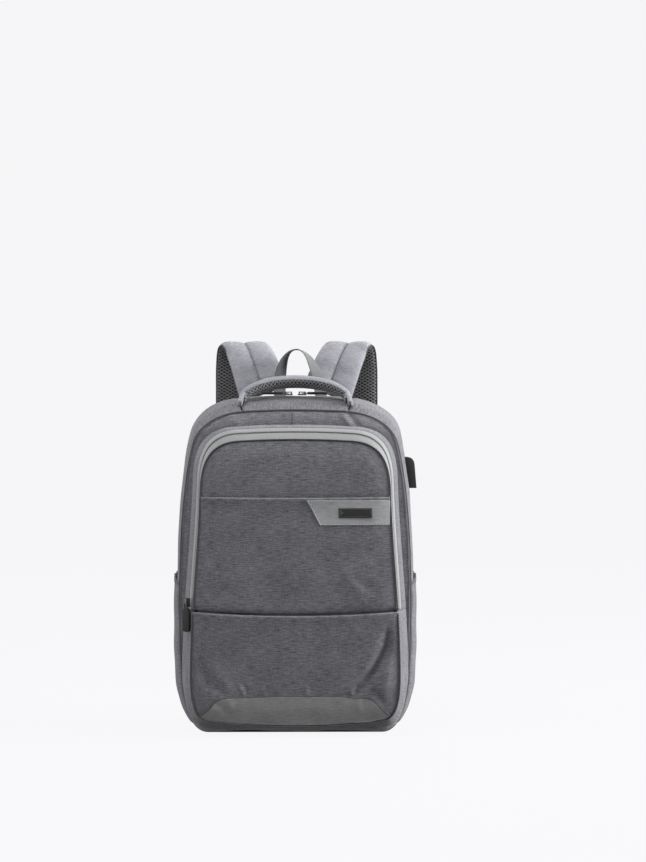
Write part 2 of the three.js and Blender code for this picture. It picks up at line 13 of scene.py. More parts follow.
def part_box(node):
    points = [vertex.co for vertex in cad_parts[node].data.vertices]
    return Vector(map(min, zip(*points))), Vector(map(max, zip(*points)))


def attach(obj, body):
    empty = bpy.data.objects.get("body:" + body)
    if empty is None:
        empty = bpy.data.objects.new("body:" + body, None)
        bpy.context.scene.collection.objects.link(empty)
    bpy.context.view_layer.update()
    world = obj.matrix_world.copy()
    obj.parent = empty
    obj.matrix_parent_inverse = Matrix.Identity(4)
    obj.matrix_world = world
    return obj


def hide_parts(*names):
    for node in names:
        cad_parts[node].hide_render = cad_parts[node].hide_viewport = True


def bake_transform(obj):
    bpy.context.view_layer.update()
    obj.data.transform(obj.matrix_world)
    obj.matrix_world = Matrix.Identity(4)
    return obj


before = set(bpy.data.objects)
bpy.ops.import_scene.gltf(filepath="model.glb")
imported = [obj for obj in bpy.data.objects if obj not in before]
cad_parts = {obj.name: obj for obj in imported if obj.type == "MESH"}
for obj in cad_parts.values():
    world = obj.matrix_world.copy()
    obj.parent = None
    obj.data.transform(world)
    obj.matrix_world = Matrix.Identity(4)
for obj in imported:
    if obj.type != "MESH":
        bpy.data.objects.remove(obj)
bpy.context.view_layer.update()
scene = bpy.context.scene
MM = 0.001
TUB, FLAP, BACK = "tub", "flap", "back"
FRONT_Y, ZIP_FRONT_Y = -36, 42  # front edge of the side wall, and where the main zip starts in it
FLAP_Z, QUICK_Z = 165, 314  # fold of the flap, and the folded edge across it
SIDES = (("left", 1), ("right", -1))


# ---- Outlines of the bag, in millimetres, from the front ----


def bezier(controls, t):
    """Points at shares t along a Bezier curve of any order."""
    controls, order = np.array(controls, float), len(controls) - 1
    t = np.asarray(t, float)[:, None]
    return sum(math.comb(order, k) * t**k * (1 - t) ** (order - k) * controls[k] for k in range(order + 1))


def evened(dense, count, columns=3):
    """The same line with evenly spaced points, as measured over its first columns."""
    steps = np.linalg.norm(np.diff(dense[:, :columns], axis=0), axis=1)
    travelled = np.concatenate([[0], np.cumsum(steps)])
    even = np.linspace(0, travelled[-1], count)
    return np.stack([np.interp(even, travelled, column) for column in dense.T], axis=1)


def half_outline(*curves):
    """The right half of an outline, from the middle of its foot to the middle of its top."""
    shares = np.linspace(0, 1, 200, endpoint=False)
    dense = np.vstack([bezier(curve, shares) for curve in curves] + [np.array([curves[-1][-1]], float)])
    return evened(dense, 400, 2)


# The third number is how far a point of the body's outline follows its inset: not at all on the centre line.
BODY_HALF = half_outline(
    [(0, 0, 0), (122, 0, 1)],
    [(122, 0, 1), (144, 0, 1), (154, 35, 1), (158, 110, 1)],
    [(158, 110, 1), (162, 190, 1), (160, 325, 1), (143, 398, 1)],
    [(143, 398, 1), (138, 428, 1), (108, 446, 1), (70, 448, 1)],
    [(70, 448, 1), (35, 450, 1), (0, 450, 0)],
)
POCKET_HALF = half_outline(
    [(0, 14), (75, 14), (119, 22.5)],
    [(119, 22.5), (131, 26), (137.5, 42), (137.8, 78)],
    [(137.8, 78), (138, 160), (127, 250), (125, 322)],
    [(125, 322), (124, 368), (108, 388), (70, 389)],
    [(70, 389), (35, 391), (0, 391)],
)
# Each row is a depth, then the outline's inset or outset there, its top and its foot.
BODY_DEPTHS = np.array([(-36, 5.5, 430, 0), (-20, 1.5, 441, 0), (8, 0, 450, 0), (40, 0.5, 450, 0), (60, 5, 445, 0)])
POCKET_DEPTHS = np.array([(-80, 0, 391, 14), (-71, 2.6, 402, 10), (-62, 6.5, 407.5, 6), (-39.2, 14, 411.5, 3)])


def at_depth(table, y, blur=5.0):
    """A depth table's row at any depth, with its corners rounded."""
    near = np.clip(y + np.linspace(-blur, blur, 9), table[0, 0], table[-1, 0])
    return [np.interp(near, table[:, 0], column).mean() for column in table.T[1:]]


def whole(half):
    """Both halves of an outline, from the middle of its foot by the right side and the top back to the foot."""
    return np.vstack([half, (half * [-1, 1])[-2::-1]])


def body_ring(y, grow=0.0):
    inset, top, foot = at_depth(BODY_DEPTHS, y)
    top, foot, inset = top + grow, foot - grow, inset - grow
    x, z, follow = BODY_HALF.T
    return whole(np.stack([x - inset * follow, foot + z * (top - foot) / 450], axis=1))


def pocket_ring(y, grow=0.0):
    out, top, foot = at_depth(POCKET_DEPTHS, y, 2.0)
    top, foot, out = top + grow, foot - grow, out + grow
    x, z = POCKET_HALF.T
    return whole(np.stack([x * (1 + out / 140), foot + (z - 14) * (top - foot) / 377], axis=1))


def along(ring, t):
    """Points at shares of the way round a ring, 0 and 1 at its foot and 0.5 at its top."""
    place = np.linspace(0, 1, len(ring))
    return np.stack([np.interp(t, place, column) for column in ring.T], axis=-1)


def share_at_height(ring, z):
    """How far round its right half a ring first comes to a height."""
    half = ring[: len(ring) // 2 + 1]
    start = int(np.argmax(half[:, 0] > half[:, 0].max() * 0.8)) if z > 60 else 40
    hit = start + int(np.argmax(half[start:, 1] >= z))
    return hit / (len(ring) - 1)


def share_at_side(ring, x):
    """How far round its right half a ring comes in to a distance from the centre line, over the top."""
    half = ring[: len(ring) // 2 + 1]
    widest = int(np.argmax(half[:, 0]))
    hit = widest + int(np.argmax(half[widest:, 0] <= x))
    return hit / (len(ring) - 1)


# ---- Meshes ----


def linked(name, data):
    made = bpy.data.objects.new(name, data)
    scene.collection.objects.link(made)
    return made


def smoothed(data, smooth=True):
    data.polygons.foreach_set("use_smooth", [smooth] * len(data.polygons))


@contextmanager
def edited(data):
    """A mesh opened for editing and written back."""
    work = bmesh.new()
    work.from_mesh(data)
    yield work
    work.to_mesh(data)
    work.free()


def mend(piece, distance=0.00001):
    """Merges doubles and turns every face outwards."""
    with edited(piece.data) as work:
        bmesh.ops.remove_doubles(work, verts=work.verts, dist=distance)
        bmesh.ops.recalc_face_normals(work, faces=work.faces)


def points_of(piece):
    return np.array([v.co for v in piece.data.vertices])


def mesh_of(name, points, faces, uvs=None, smooth=True):
    """A mesh object from points in millimetres; uvs holds one pair for each point, in tenths of a metre."""
    data = bpy.data.meshes.new(name)
    data.from_pydata((np.asarray(points, float) * MM).tolist(), [], [list(map(int, f)) for f in faces])
    if uvs is not None:
        layer = data.uv_layers.new(name="UVMap")
        index = np.zeros(len(data.loops), np.int32)
        data.loops.foreach_get("vertex_index", index)
        layer.data.foreach_set("uv", np.asarray(uvs, np.float32)[index].ravel())
    smoothed(data, smooth)
    return linked(name, data)


def grid_faces(rows, columns, closed=False):
    faces = []
    for r in range(rows if closed else rows - 1):
        a, b = r * columns, ((r + 1) % rows) * columns
        faces += [(a + c, b + c, b + c + 1, a + c + 1) for c in range(columns - 1)]
    return faces


def finished(piece, *modifiers):
    """The piece with modifiers, given as (type, settings), worked into its mesh."""
    for kind, settings in modifiers:
        modifier = piece.modifiers.new(kind.title(), kind)
        for key, value in settings.items():
            setattr(modifier, key, value)
    depsgraph = bpy.context.evaluated_depsgraph_get()
    data = bpy.data.meshes.new_from_object(piece.evaluated_get(depsgraph))
    piece.modifiers.clear()
    piece.data = data
    return piece


# ---- Soft forms ----


def unit(vectors):
    return vectors / np.linalg.norm(vectors, axis=-1, keepdims=True)


def clamped(values):
    return np.clip(values, 0, 1)


def ripple(a, b, wave, seed):
    """A smooth uneven field between -1 and 1: sines of about one wavelength in random directions."""
    rng = np.random.default_rng(seed)
    total = np.zeros_like(np.asarray(a, float))
    for _ in range(7):
        angle, phase, length = rng.uniform(0, math.pi), rng.uniform(0, 2 * math.pi), wave * rng.uniform(0.7, 1.5)
        total += np.sin(2 * math.pi * (a * math.cos(angle) + b * math.sin(angle)) / length + phase)
    return total / 4.5


def lengths_along(grid):
    """The distance of each point of a grid from its first row and its first column."""
    down = np.linalg.norm(np.diff(grid, axis=0, prepend=grid[:1]), axis=2).cumsum(axis=0).mean(axis=1)
    across = np.linalg.norm(np.diff(grid, axis=1, prepend=grid[:, :1]), axis=2).cumsum(axis=1).mean(axis=0)
    return down, across


def edge_distance(grid, sides):
    """Distance of each point of a grid from the named edges: first and last row, near and rear column."""
    down, across = lengths_along(grid)
    from_side = {
        "first": down[:, None],
        "last": (down[-1] - down)[:, None],
        "near": across[None, :],
        "rear": (across[-1] - across)[None, :],
    }
    far = np.full(grid.shape[:2], 1e3)
    for side in sides:
        far = np.minimum(far, from_side[side])
    return far


def uv_of(first, second, swapped):
    v, u = np.meshgrid(first, second, indexing="ij")
    return np.stack([v, u] if swapped else [u, v], axis=2).reshape(-1, 2) / 100


def cloth(name, grid, finish, thickness=2.4, along_rows=False, inner=None, smooth=1, flip=False):
    """A panel of cloth with a thickness, grown inwards from a grid of points on its outer face."""
    faces = grid_faces(*grid.shape[:2])
    if flip:
        faces = [f[::-1] for f in faces]
    piece = mesh_of(name, grid.reshape(-1, 3), faces, uv_of(*lengths_along(grid), along_rows))
    piece.data.materials.append(finish)
    piece.data.materials.append(inner or finish)
    solid = {"thickness": thickness * MM, "offset": -1, "use_rim": True}
    solid.update(material_offset=1, use_even_offset=False)
    steps = [("SOLIDIFY", solid)]
    if smooth:
        steps.append(("SUBSURF", {"levels": smooth, "render_levels": smooth}))
    return finished(piece, *steps)


def sweep(name, line, sections, finish, up, closed_line=False, crosswise=False):
    """A tube whose section, a list of (across, out) points for each station, is carried along a line.

    up is the direction that each section's second number points in, made square to the line."""
    line = np.asarray(line, float)
    tangent = np.gradient(line, axis=0)
    if closed_line:
        tangent = np.roll(line, -1, axis=0) - np.roll(line, 1, axis=0)
    tangent = unit(tangent)
    out = np.broadcast_to(np.asarray(up, float), line.shape)
    out = unit(out - (out * tangent).sum(axis=1, keepdims=True) * tangent)
    side = np.cross(tangent, out)
    sections = np.broadcast_to(np.asarray(sections, float), (len(line),) + np.shape(sections)[-2:])
    grid = line[:, None] + sections[..., :1] * side[:, None] + sections[..., 1:] * out[:, None]
    rows, columns = grid.shape[:2]
    run = np.linalg.norm(np.diff(line, axis=0, prepend=line[:1]), axis=1).cumsum()
    # One extra column at the seam keeps the texture from running back across the last face.
    grid = np.concatenate([grid, grid[:, :1]], axis=1)
    _, girth = lengths_along(grid)
    faces = grid_faces(rows, columns + 1, closed_line)
    if not closed_line:
        first = list(range(columns))
        last = [(rows - 1) * (columns + 1) + c for c in range(columns)]
        faces += [first[::-1], last]
    piece = mesh_of(name, grid.reshape(-1, 3), faces, uv_of(run, girth, not crosswise))
    piece.data.materials.append(finish)
    mend(piece)
    return piece


def round_section(radius, sides=8):
    turn = np.linspace(0, 2 * math.pi, sides, endpoint=False)
    return np.stack([radius * np.cos(turn), radius * np.sin(turn)], axis=1)


# ---- Rows of small things along paths ----


def repeat_tree(name, axis, pivot, segments, rings):
    """A node tree that sets rounded bars along the edges of a mesh, turned to follow them."""
    tree = bpy.data.node_groups.new(name, "GeometryNodeTree")
    kinds = {"Paths": "Geometry", "Pitch": "Float", "Size": "Vector", "Finish": "Material"}
    for label, kind in kinds.items():
        tree.interface.new_socket(label, in_out="INPUT", socket_type="NodeSocket" + kind)
    tree.interface.new_socket("Row", in_out="OUTPUT", socket_type="NodeSocketGeometry")

    def node(kind, links=(), **settings):
        made = tree.nodes.new(kind)
        for key, value in settings.items():
            setattr(made, key, value)
        for socket, value in links:
            if isinstance(value, bpy.types.NodeSocket):
                tree.links.new(value, made.inputs[socket])
            else:
                made.inputs[socket].default_value = value
        return made.outputs

    given = node("NodeGroupInput")
    curve = node("GeometryNodeMeshToCurve", [("Mesh", given["Paths"])])[0]
    points = node("GeometryNodeResampleCurve", [("Curve", curve), ("Length", given["Pitch"])], mode="LENGTH")[0]
    tangent = node("GeometryNodeInputTangent")[0]
    turn = node("FunctionNodeAlignRotationToVector", [("Vector", tangent)], axis=axis, pivot_axis=pivot)[0]
    bar = node("GeometryNodeMeshUVSphere", [("Segments", segments), ("Rings", rings), ("Radius", 0.5)])[0]
    spread = [("Points", points), ("Instance", bar), ("Rotation", turn), ("Scale", given["Size"])]
    row = node("GeometryNodeInstanceOnPoints", spread)[0]
    real = node("GeometryNodeRealizeInstances", [("Geometry", row)])[0]
    soft = node("GeometryNodeSetShadeSmooth", [("Geometry", real)])[0]
    done = node("GeometryNodeSetMaterial", [("Geometry", soft), ("Material", given["Finish"])])[0]
    tree.links.new(done, tree.nodes.new("NodeGroupOutput").inputs[0])
    return tree


STITCHES = repeat_tree("stitches", "X", "AUTO", 6, 4)
TEETH = repeat_tree("teeth", "X", "Y", 8, 5)


def row_of(name, tree, paths, pitch, size, finish):
    """One mesh of small bars along paths in millimetres; size is along the path, across it and out of the cloth."""
    points, edges = [], []
    for path in paths:
        edges += [(len(points) + i, len(points) + i + 1) for i in range(len(path) - 1)]
        points += [list(np.asarray(p, float) * MM) for p in path]
    data = bpy.data.meshes.new(name)
    data.from_pydata(points, edges, [])
    piece = linked(name, data)
    modifier = piece.modifiers.new("Row", "NODES")
    modifier.node_group = tree
    values = {"Pitch": pitch * MM, "Size": [s * MM for s in size], "Finish": finish}
    for item in tree.interface.items_tree:
        if item.name in values:
            modifier[item.identifier] = values[item.name]
    return finished(piece)


def surface_of(*pieces):
    """A search tree over the faces of one or more pieces, in metres."""
    points, faces = [], []
    for piece in pieces:
        start = len(points)
        points += [v.co.copy() for v in piece.data.vertices]
        faces += [[start + i for i in p.vertices] for p in piece.data.polygons]
    return BVHTree.FromPolygons(points, faces)


def laid_on(surface, path, lift=0.1):
    """A path moved onto the nearest point of a surface and raised off it, all in millimetres."""
    laid = []
    for point in path:
        place, normal, _, _ = surface.find_nearest(Vector(point) * MM)
        laid.append(np.array(place) / MM + np.array(normal) * lift)
    return np.array(laid)


# ---- Finishes ----


class Wire:
    """An output of a material's node tree that takes part in sums."""

    def __init__(self, look, socket):
        self.look, self.socket = look, socket

    def math(self, operation, *others):
        return self.look.node("ShaderNodeMath", self, *others, operation=operation)

    def __add__(self, other):
        return self.math("ADD", other)

    def __sub__(self, other):
        return self.math("SUBTRACT", other)

    def __rsub__(self, other):
        return self.look.node("ShaderNodeMath", other, self, operation="SUBTRACT")

    def __mul__(self, other):
        return self.math("MULTIPLY", other)

    __radd__, __rmul__ = __add__, __mul__

    def sine(self):
        return self.math("SINE")

    def size(self):
        return self.math("ABSOLUTE")

    def above(self, low, high):
        """0 below low, 1 above high."""
        return self.look.node("ShaderNodeMapRange", self, low, high, 0.0, 1.0, clamp=True)


class Look:
    """A material: one Principled shader and the nodes that feed it."""

    def __init__(self, name, **constants):
        self.material = bpy.data.materials.new(name)
        self.material.use_nodes = True
        self.tree = self.material.node_tree
        self.shader = self.tree.nodes["Principled BSDF"]
        for key, value in constants.items():
            self.shader.inputs[key.replace("_", " ").title().replace("Ior", "IOR")].default_value = value

    def put(self, socket, value):
        if isinstance(value, Wire):
            self.tree.links.new(value.socket, socket)
        elif value is not None:
            socket.default_value = value

    def node(self, kind, *values, out=0, **settings):
        made = self.tree.nodes.new(kind)
        for key, value in settings.items():
            setattr(made, key, value)
        for socket, value in zip(made.inputs, values):
            self.put(socket, value)
        return Wire(self, made.outputs[out])

    def mix(self, factor, low, high):
        made = self.tree.nodes.new("ShaderNodeMix")
        made.data_type = "RGBA"
        for index, value in ((0, factor), (6, low), (7, high)):
            self.put(made.inputs[index], value)
        return Wire(self, made.outputs[2])

    def place(self, on_object=False):
        """The surface's own coordinates, in tenths of a metre."""
        if not on_object:
            return self.node("ShaderNodeTexCoord", out=2)
        return self.scaled(self.node("ShaderNodeTexCoord", out=3), (10, 10, 10))

    def scaled(self, vector, scale):
        return self.node("ShaderNodeMapping", vector, None, None, scale)

    def split(self, vector):
        return [self.node("ShaderNodeSeparateXYZ", vector, out=i) for i in range(3)]

    def noise(self, vector, scale, detail=2.0):
        return self.node("ShaderNodeTexNoise", self.scaled(vector, scale), None, 1.0, detail)

    def finish(self, colour, rough, height, depth, strength):
        self.put(self.shader.inputs["Base Color"], colour)
        self.put(self.shader.inputs["Roughness"], rough)
        bump = self.node("ShaderNodeBump", strength, depth * MM)
        # The height goes in by name, since the sockets between differ between versions.
        self.put(bump.socket.node.inputs["Height"], height)
        self.put(self.shader.inputs["Normal"], bump)
        return self.material


def tone(level, tint=(1.0, 1.0, 1.03)):
    return tuple(level * t for t in tint) + (1.0,)


TURN = 2 * math.pi * 100  # turns of a sine for each tenth of a metre, over a pitch in millimetres


def heathered(name, dark, light, tint=(1.0, 0.99, 1.09), on_object=False, weave=0.9, pale=0.5):
    """Plain-woven melange cloth: fine threads, and streaks of paler fibre along the weft."""
    look = Look(name, roughness=0.9, sheen_weight=0.12, sheen_roughness=0.5, specular_ior_level=0.25)
    place = look.place(on_object)
    x, y, z = look.split(place)
    weft, fine, warp = (9.0, 70.0, 1.0), (30.0, 150.0, 1.0), (85.0, 8.0, 1.0)
    if on_object:
        weft, fine, warp = (9.0, 9.0, 70.0), (30.0, 30.0, 150.0), (70.0, 9.0, 9.0)
    streak = look.noise(place, weft, 3.0).above(0.32, 0.7)
    slub = look.noise(place, fine, 1.0).above(0.25, 0.75)
    upright = look.noise(place, warp, 1.0).above(0.3, 0.7)
    patch = look.noise(place, (2.2, 3.2, 2.2), 2.0).above(0.3, 0.7)
    mixed = streak * 0.4 + slub * 0.36 + upright * 0.12 + patch * 0.12
    colour = look.mix(mixed, tone(dark, tint), tone(light, tint))
    cross = z if on_object else y
    threads = (x * (TURN / weave)).sine() * (cross * (TURN / weave)).sine()
    height = threads * 0.5 + streak * pale + slub * 0.4
    return look.finish(colour, 0.98 - mixed * 0.14, height, 0.16, 0.55)


def spacer_mesh(name, dark, light, on_object=False, pitch=4.6):
    """Padded air mesh: crossed strands over dark holes."""
    look = Look(name, roughness=0.85, sheen_weight=0.2, sheen_roughness=0.4, specular_ior_level=0.3)
    place = look.place(on_object)
    x, y, z = look.split(place)
    high = z if on_object else y
    k = TURN / pitch / 2
    wave = ((x + high * 0.62) * k).sine().size() * ((x - high * 0.62) * k).sine().size()
    hole = wave.above(0.22, 0.62)
    fibre = look.noise(place, (60.0, 60.0, 60.0), 2.0).above(0.3, 0.7)
    strand = look.mix(fibre, tone(light * 0.75), tone(light))
    return look.finish(look.mix(hole, strand, tone(dark)), 0.8 + hole * 0.15, 1.0 - hole, 0.9, 0.9)


def ribbed(name, dark, light, across=1.3, length=2.2, tint=(1.0, 1.0, 1.03)):
    """Flat woven tape: fine ribs along it and picks across it."""
    look = Look(name, roughness=0.8, sheen_weight=0.15, sheen_roughness=0.4, specular_ior_level=0.35)
    place = look.place()
    x, y, _ = look.split(place)
    ribs = (y * (TURN / across)).sine() * 0.5 + 0.5
    picks = (x * (TURN / length) + ribs * 1.5).sine() * 0.5 + 0.5
    grain = look.noise(place, (30.0, 90.0, 1.0), 2.0).above(0.3, 0.7)
    shade = ribs * 0.35 + picks * 0.25 + grain * 0.4
    colour = look.mix(shade, tone(dark, tint), tone(light, tint))
    return look.finish(colour, 0.9 - shade * 0.15, ribs * 0.6 + picks * 0.6, 0.15, 0.7)


def corded(name, dark, light, pitch=2.4):
    """A twisted cord or a covered piping: slanting ridges round a tube."""
    look = Look(name, roughness=0.7, sheen_weight=0.1, specular_ior_level=0.3)
    x, y, _ = look.split(look.place())
    ridge = ((x * (TURN / pitch)) + (y * (TURN / 9.0))).sine() * 0.5 + 0.5
    colour = look.mix(ridge, tone(dark), tone(light))
    return look.finish(colour, 0.8 - ridge * 0.15, ridge, 0.25, 0.8)


def moulded(name, level, rough, metallic=0.0, specular=0.5):
    """Plastic, rubber or plated metal with a fine surface and slight handling marks."""
    look = Look(name, metallic=metallic, specular_ior_level=specular)
    place = look.place(on_object=True)
    fine = look.noise(place, (160.0, 160.0, 160.0), 2.0)
    smear = look.noise(place, (7.0, 7.0, 11.0), 3.0).above(0.35, 0.7)
    tint = (1.0, 1.0, 1.02)
    colour = look.mix(smear, tone(level * 0.88, tint), tone(level * 1.12, tint))
    return look.finish(colour, smear * 0.12 + (rough - 0.06), fine, 0.05, 0.5)


HEATHER = heathered("heather_cloth", 0.008, 0.184)
# A lighter copy of the heather cloth, as painted top light, for the strap and handle covers that face up.
HEATHER_PAINTED_TOP_LIGHT = heathered("heather_cloth_straps", 0.1, 0.285, (1.0, 1.0, 1.1))
# The badge patch's own cloth is paler than the bag's. It is made paler still, all over, as a painted highlight for
# the light that catches its top under the fold.
PALE_PATCH_PAINTED_LIT = heathered("patch_cloth", 0.16, 0.34, (1.0, 1.01, 1.03), weave=1.3, pale=0.3)
FOOT_PATCH = heathered("foot_patch_cloth", 0.1, 0.215, (1.0, 1.0, 0.98), weave=1.3, pale=0.3)
LINING = heathered("lining_cloth", 0.022, 0.06, weave=0.8)
LINING_SOFT = heathered("lining_cloth_small", 0.02, 0.045, on_object=True, weave=0.8)
DARK_SOFT = heathered("dark_band_cloth", 0.02, 0.05, on_object=True, weave=0.8)
ZIP_TAPE = ribbed("zip_tape_light", 0.145, 0.21, 1.1, 1.6, (1.0, 1.02, 1.02))
DARK_TAPE = ribbed("zip_tape_dark", 0.022, 0.04, 1.1, 1.6)
DARK_BINDING = ribbed("dark_binding", 0.03, 0.07, 1.4, 1.8)
WEBBING = ribbed("webbing", 0.045, 0.115, tint=(1.0, 1.04, 1.06))
DARK_CORD = corded("dark_piping", 0.007, 0.06, 3.4)
SEAM_CORD = corded("seam_piping", 0.03, 0.09)
PALE_CORD = corded("pale_piping", 0.2, 0.36, 2.0)
AIR_MESH = spacer_mesh("air_mesh", 0.006, 0.1)
HANDLE_MESH = spacer_mesh("handle_air_mesh", 0.01, 0.3, pitch=5.2)
PAD_MESH = spacer_mesh("pad_air_mesh", 0.01, 0.075, on_object=True)
THREAD = moulded("thread", 0.12, 0.7)
PALE_THREAD = moulded("pale_thread", 0.42, 0.7, specular=0.2)
COIL = moulded("zip_coil", 0.03, 0.45)
LIGHT_COIL = moulded("zip_coil_grey", 0.1, 0.5)
RUBBER = moulded("rubber", 0.005, 0.6, specular=0.2)
PLASTIC = moulded("black_plastic", 0.016, 0.5, specular=0.25)
STEEL = moulded("steel", 0.55, 0.25, metallic=1.0)
GUNMETAL = moulded("gunmetal", 0.05, 0.4, metallic=0.8, specular=0.4)
BADGE = moulded("badge_enamel", 0.011, 0.45, specular=0.25)


def place(piece, body, slot, fill=None, bend=None):
    """The piece rides on a body and stands for the CAD node that it is named after. Its slot is not used.

    Where it is sewn to a second body, bend holds that body and two points. Then the piece's transform is baked into
    its mesh and it rides on no body; the second body and the two points are not used.
    """
    if bend:
        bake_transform(piece)
    else:
        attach(piece, body)
    node = piece.name.split(".")[0]
    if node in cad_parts:
        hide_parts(node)
    return piece


def heather(name, grid, body, thickness=2.4, **options):
    """A lined panel of the bag's own cloth."""
    piece = cloth(name, grid, HEATHER, thickness, inner=LINING, **options)
    return place(piece, body, "heather_fabric")


def cord(name, line, radius, finish, body, slot="dark_trim", closed_line=False, sides=8):
    piece = sweep(name, line, round_section(radius, sides), finish, (0.02, -1, 0.03), closed_line)
    return place(piece, body, slot)


def stitches(name, rows, pitch, size, body, slot="heather_fabric", finish=THREAD, bend=None):
    return place(row_of(name, STITCHES, rows, pitch, size, finish), body, slot, bend=bend)


# ---- Panels ----


def spaced(count, crowd=0.45):
    """Shares from 0 to 1 that lie closer together near both ends."""
    t = np.linspace(0, 1, count)
    return (1 - crowd) * t + crowd * (0.5 - 0.5 * np.cos(math.pi * t))


def coons(foot, top, left, right):
    """A grid of points inside four edges; left and right run upwards, foot and top from left to right."""
    v, u = spaced(len(left))[:, None, None], spaced(len(foot))[None, :, None]
    across = left[:, None] * (1 - u) + right[:, None] * u
    up = foot[None] * (1 - v) + top[None] * v
    corners = foot[0] * (1 - u) * (1 - v) + foot[-1] * u * (1 - v) + top[0] * (1 - u) * v + top[-1] * u * v
    return across + up - corners


def straight(a, b, count, bow=0.0):
    """Crowded points from a to b, bowed upwards in the middle."""
    t = spaced(count)[:, None]
    line = np.array(a, float) * (1 - t) + np.array(b, float) * t
    line[:, 1] += bow * 4 * t[:, 0] * (1 - t[:, 0])
    return line


def between(t, low, high, a, b):
    return (high - t) / (high - low) * a + (t - low) / (high - low) * b


def line_on(points, count):
    """A smooth line of evenly spaced points through a few given ones, in two or three numbers each."""
    points = np.array(points, float)
    ghost = np.vstack([2 * points[0] - points[1], points, 2 * points[-1] - points[-2]])
    dense = []
    for p0, p1, p2, p3 in zip(ghost, ghost[1:], ghost[2:], ghost[3:]):
        gaps = [max(np.linalg.norm(b - a), 1e-6) ** 0.5 for a, b in ((p0, p1), (p1, p2), (p2, p3))]
        t0, t1, t2, t3 = np.cumsum([0, *gaps])
        t = np.linspace(t1, t2, 40, endpoint=False)[:, None]
        a1, a2, a3 = between(t, t0, t1, p0, p1), between(t, t1, t2, p1, p2), between(t, t2, t3, p2, p3)
        b1, b2 = between(t, t0, t2, a1, a2), between(t, t1, t3, a2, a3)
        dense.append(between(t, t1, t2, b1, b2))
    return evened(np.vstack([*dense, points[-1:]]), count)


def stretch_of(ring, start, stop, count):
    return along(ring, start + (stop - start) * spaced(count))


def inside(ring, low, high, rows, columns, low_bow=0.0, high_bow=0.0):
    """A grid that fills an outline between two heights; None stands for its own foot or top."""
    a = 0.125 if low is None else share_at_height(ring, low)
    b = 0.39 if high is None else share_at_height(ring, high)
    right, left = stretch_of(ring, a, b, rows), stretch_of(ring, 1 - a, 1 - b, rows)
    if low is None:
        foot = stretch_of(np.roll(ring[:-1], len(ring) // 2, axis=0), 0.5 - a, 0.5 + a, columns)
    else:
        foot = straight(left[0], right[0], columns, low_bow)
    top = stretch_of(ring, 1 - b, b, columns) if high is None else straight(left[-1], right[-1], columns, high_bow)
    return coons(foot, top, left, right)


def from_outline(points, ring):
    """How far points lie from an outline."""
    flat = points.reshape(-1, 2)
    far = np.full(len(flat), 1e9)
    for start in range(0, len(ring) - 1, 40):
        part = ring[start : start + 41]
        a, step = part[:-1], np.diff(part, axis=0)
        t = ((flat[:, None] - a) * step).sum(axis=2) / np.maximum((step**2).sum(axis=1), 1e-9)
        near = a + clamped(t)[..., None] * step
        far = np.minimum(far, np.linalg.norm(flat[:, None] - near, axis=2).min(axis=1))
    return far.reshape(points.shape[:2])


def stood_at(flat, depth):
    """A flat grid of (x, z) stood up at a depth, which may vary."""
    return np.stack([flat[..., 0], np.broadcast_to(depth, flat.shape[:2]), flat[..., 1]], axis=2)


def laid_line(skin, line, lift, depth=-85.0):
    """A flat (x, z) line laid on a skin from in front of it."""
    return laid_on(skin, stood_at(line[None], depth)[0], lift)


def rolled(grid, sides, dip=1.5, reach=2.2, waves=0.5, length=70.0, seed=1):
    """The grid with its seamed edges rolled inwards and a slight unevenness."""
    far = edge_distance(grid, sides)
    down, across = lengths_along(grid)
    uneven = ripple(down[:, None] + 0 * across, across[None] + 0 * down[:, None], length, seed) * waves
    move = uneven * clamped(far / 14) - dip * np.exp(-far / reach)
    facing = np.cross(np.gradient(grid, axis=0), np.gradient(grid, axis=1))
    facing /= np.maximum(np.linalg.norm(facing, axis=2, keepdims=True), 1e-9)
    return grid + facing * move[..., None]


def rounds(ring_of, y, shares, grow=0.0):
    """A line of points at shares of the way round the bag at a depth."""
    x, z = along(ring_of(y, grow), shares).T
    return np.stack([x, np.full(len(shares), y), z], axis=1)


def wrapped(ring_of, y0, y1, start, stop, rows, columns, grow=0.0):
    """A strip that wraps round the bag between two depths, from one share of the way round to another."""
    shares = start + (stop - start) * spaced(columns, 0.15)
    return np.array([rounds(ring_of, y, shares, grow) for y in y0 + (y1 - y0) * spaced(rows)])


def ridge(flat, width, height, *points):
    """A soft fold that runs along a line over a flat grid, fading at its ends; a groove if its height is negative."""
    points = np.array(points, float)
    p = flat.reshape(-1, 2)
    best, share = np.full(len(p), 1e9), np.zeros(len(p))
    for i, (a, b) in enumerate(zip(points[:-1], points[1:])):
        t = clamped(((p - a) @ (b - a)) / ((b - a) ** 2).sum())
        d = np.linalg.norm(p - a - t[:, None] * (b - a), axis=1)
        share = np.where(d < best, (i + t) / (len(points) - 1), share)
        best = np.minimum(best, d)
    fade = np.sin(np.clip(share, 0.02, 0.98) * math.pi) ** 0.6
    return (height * fade * np.exp(-((best / width) ** 2))).reshape(flat.shape[:2])


# ---- Compartment ----

SEAM_SHARE = share_at_side(body_ring(0), 75)
BASE_SHARE = share_at_height(body_ring(0), 14)
ZIP_END = share_at_height(body_ring(44), 45)
ALL_SIDES = ("first", "last", "near", "rear")


def side_walls():
    for side, start, stop, foot in (
        ("left", BASE_SHARE, SEAM_SHARE, (BASE_SHARE, ZIP_END)),
        ("right", 1 - SEAM_SHARE, 1 - BASE_SHARE, (1 - ZIP_END, 1 - BASE_SHARE)),
    ):
        grid = wrapped(body_ring, FRONT_Y, ZIP_FRONT_Y, start, stop, 22, 110)
        grid = rolled(grid, ALL_SIDES, 1.6, 2.4, 1.0, 85, 3)
        heather(f"side_panel_{side}", grid, TUB, along_rows=True)
        # Below the zip's end the side wall runs on to the back.
        rear = rolled(wrapped(body_ring, ZIP_FRONT_Y + 0.1, 59, *foot, 8, 16), ("last",), 1.2, 2.0, 0.2)
        heather(f"side_corner_{side}", rear, TUB, along_rows=True)


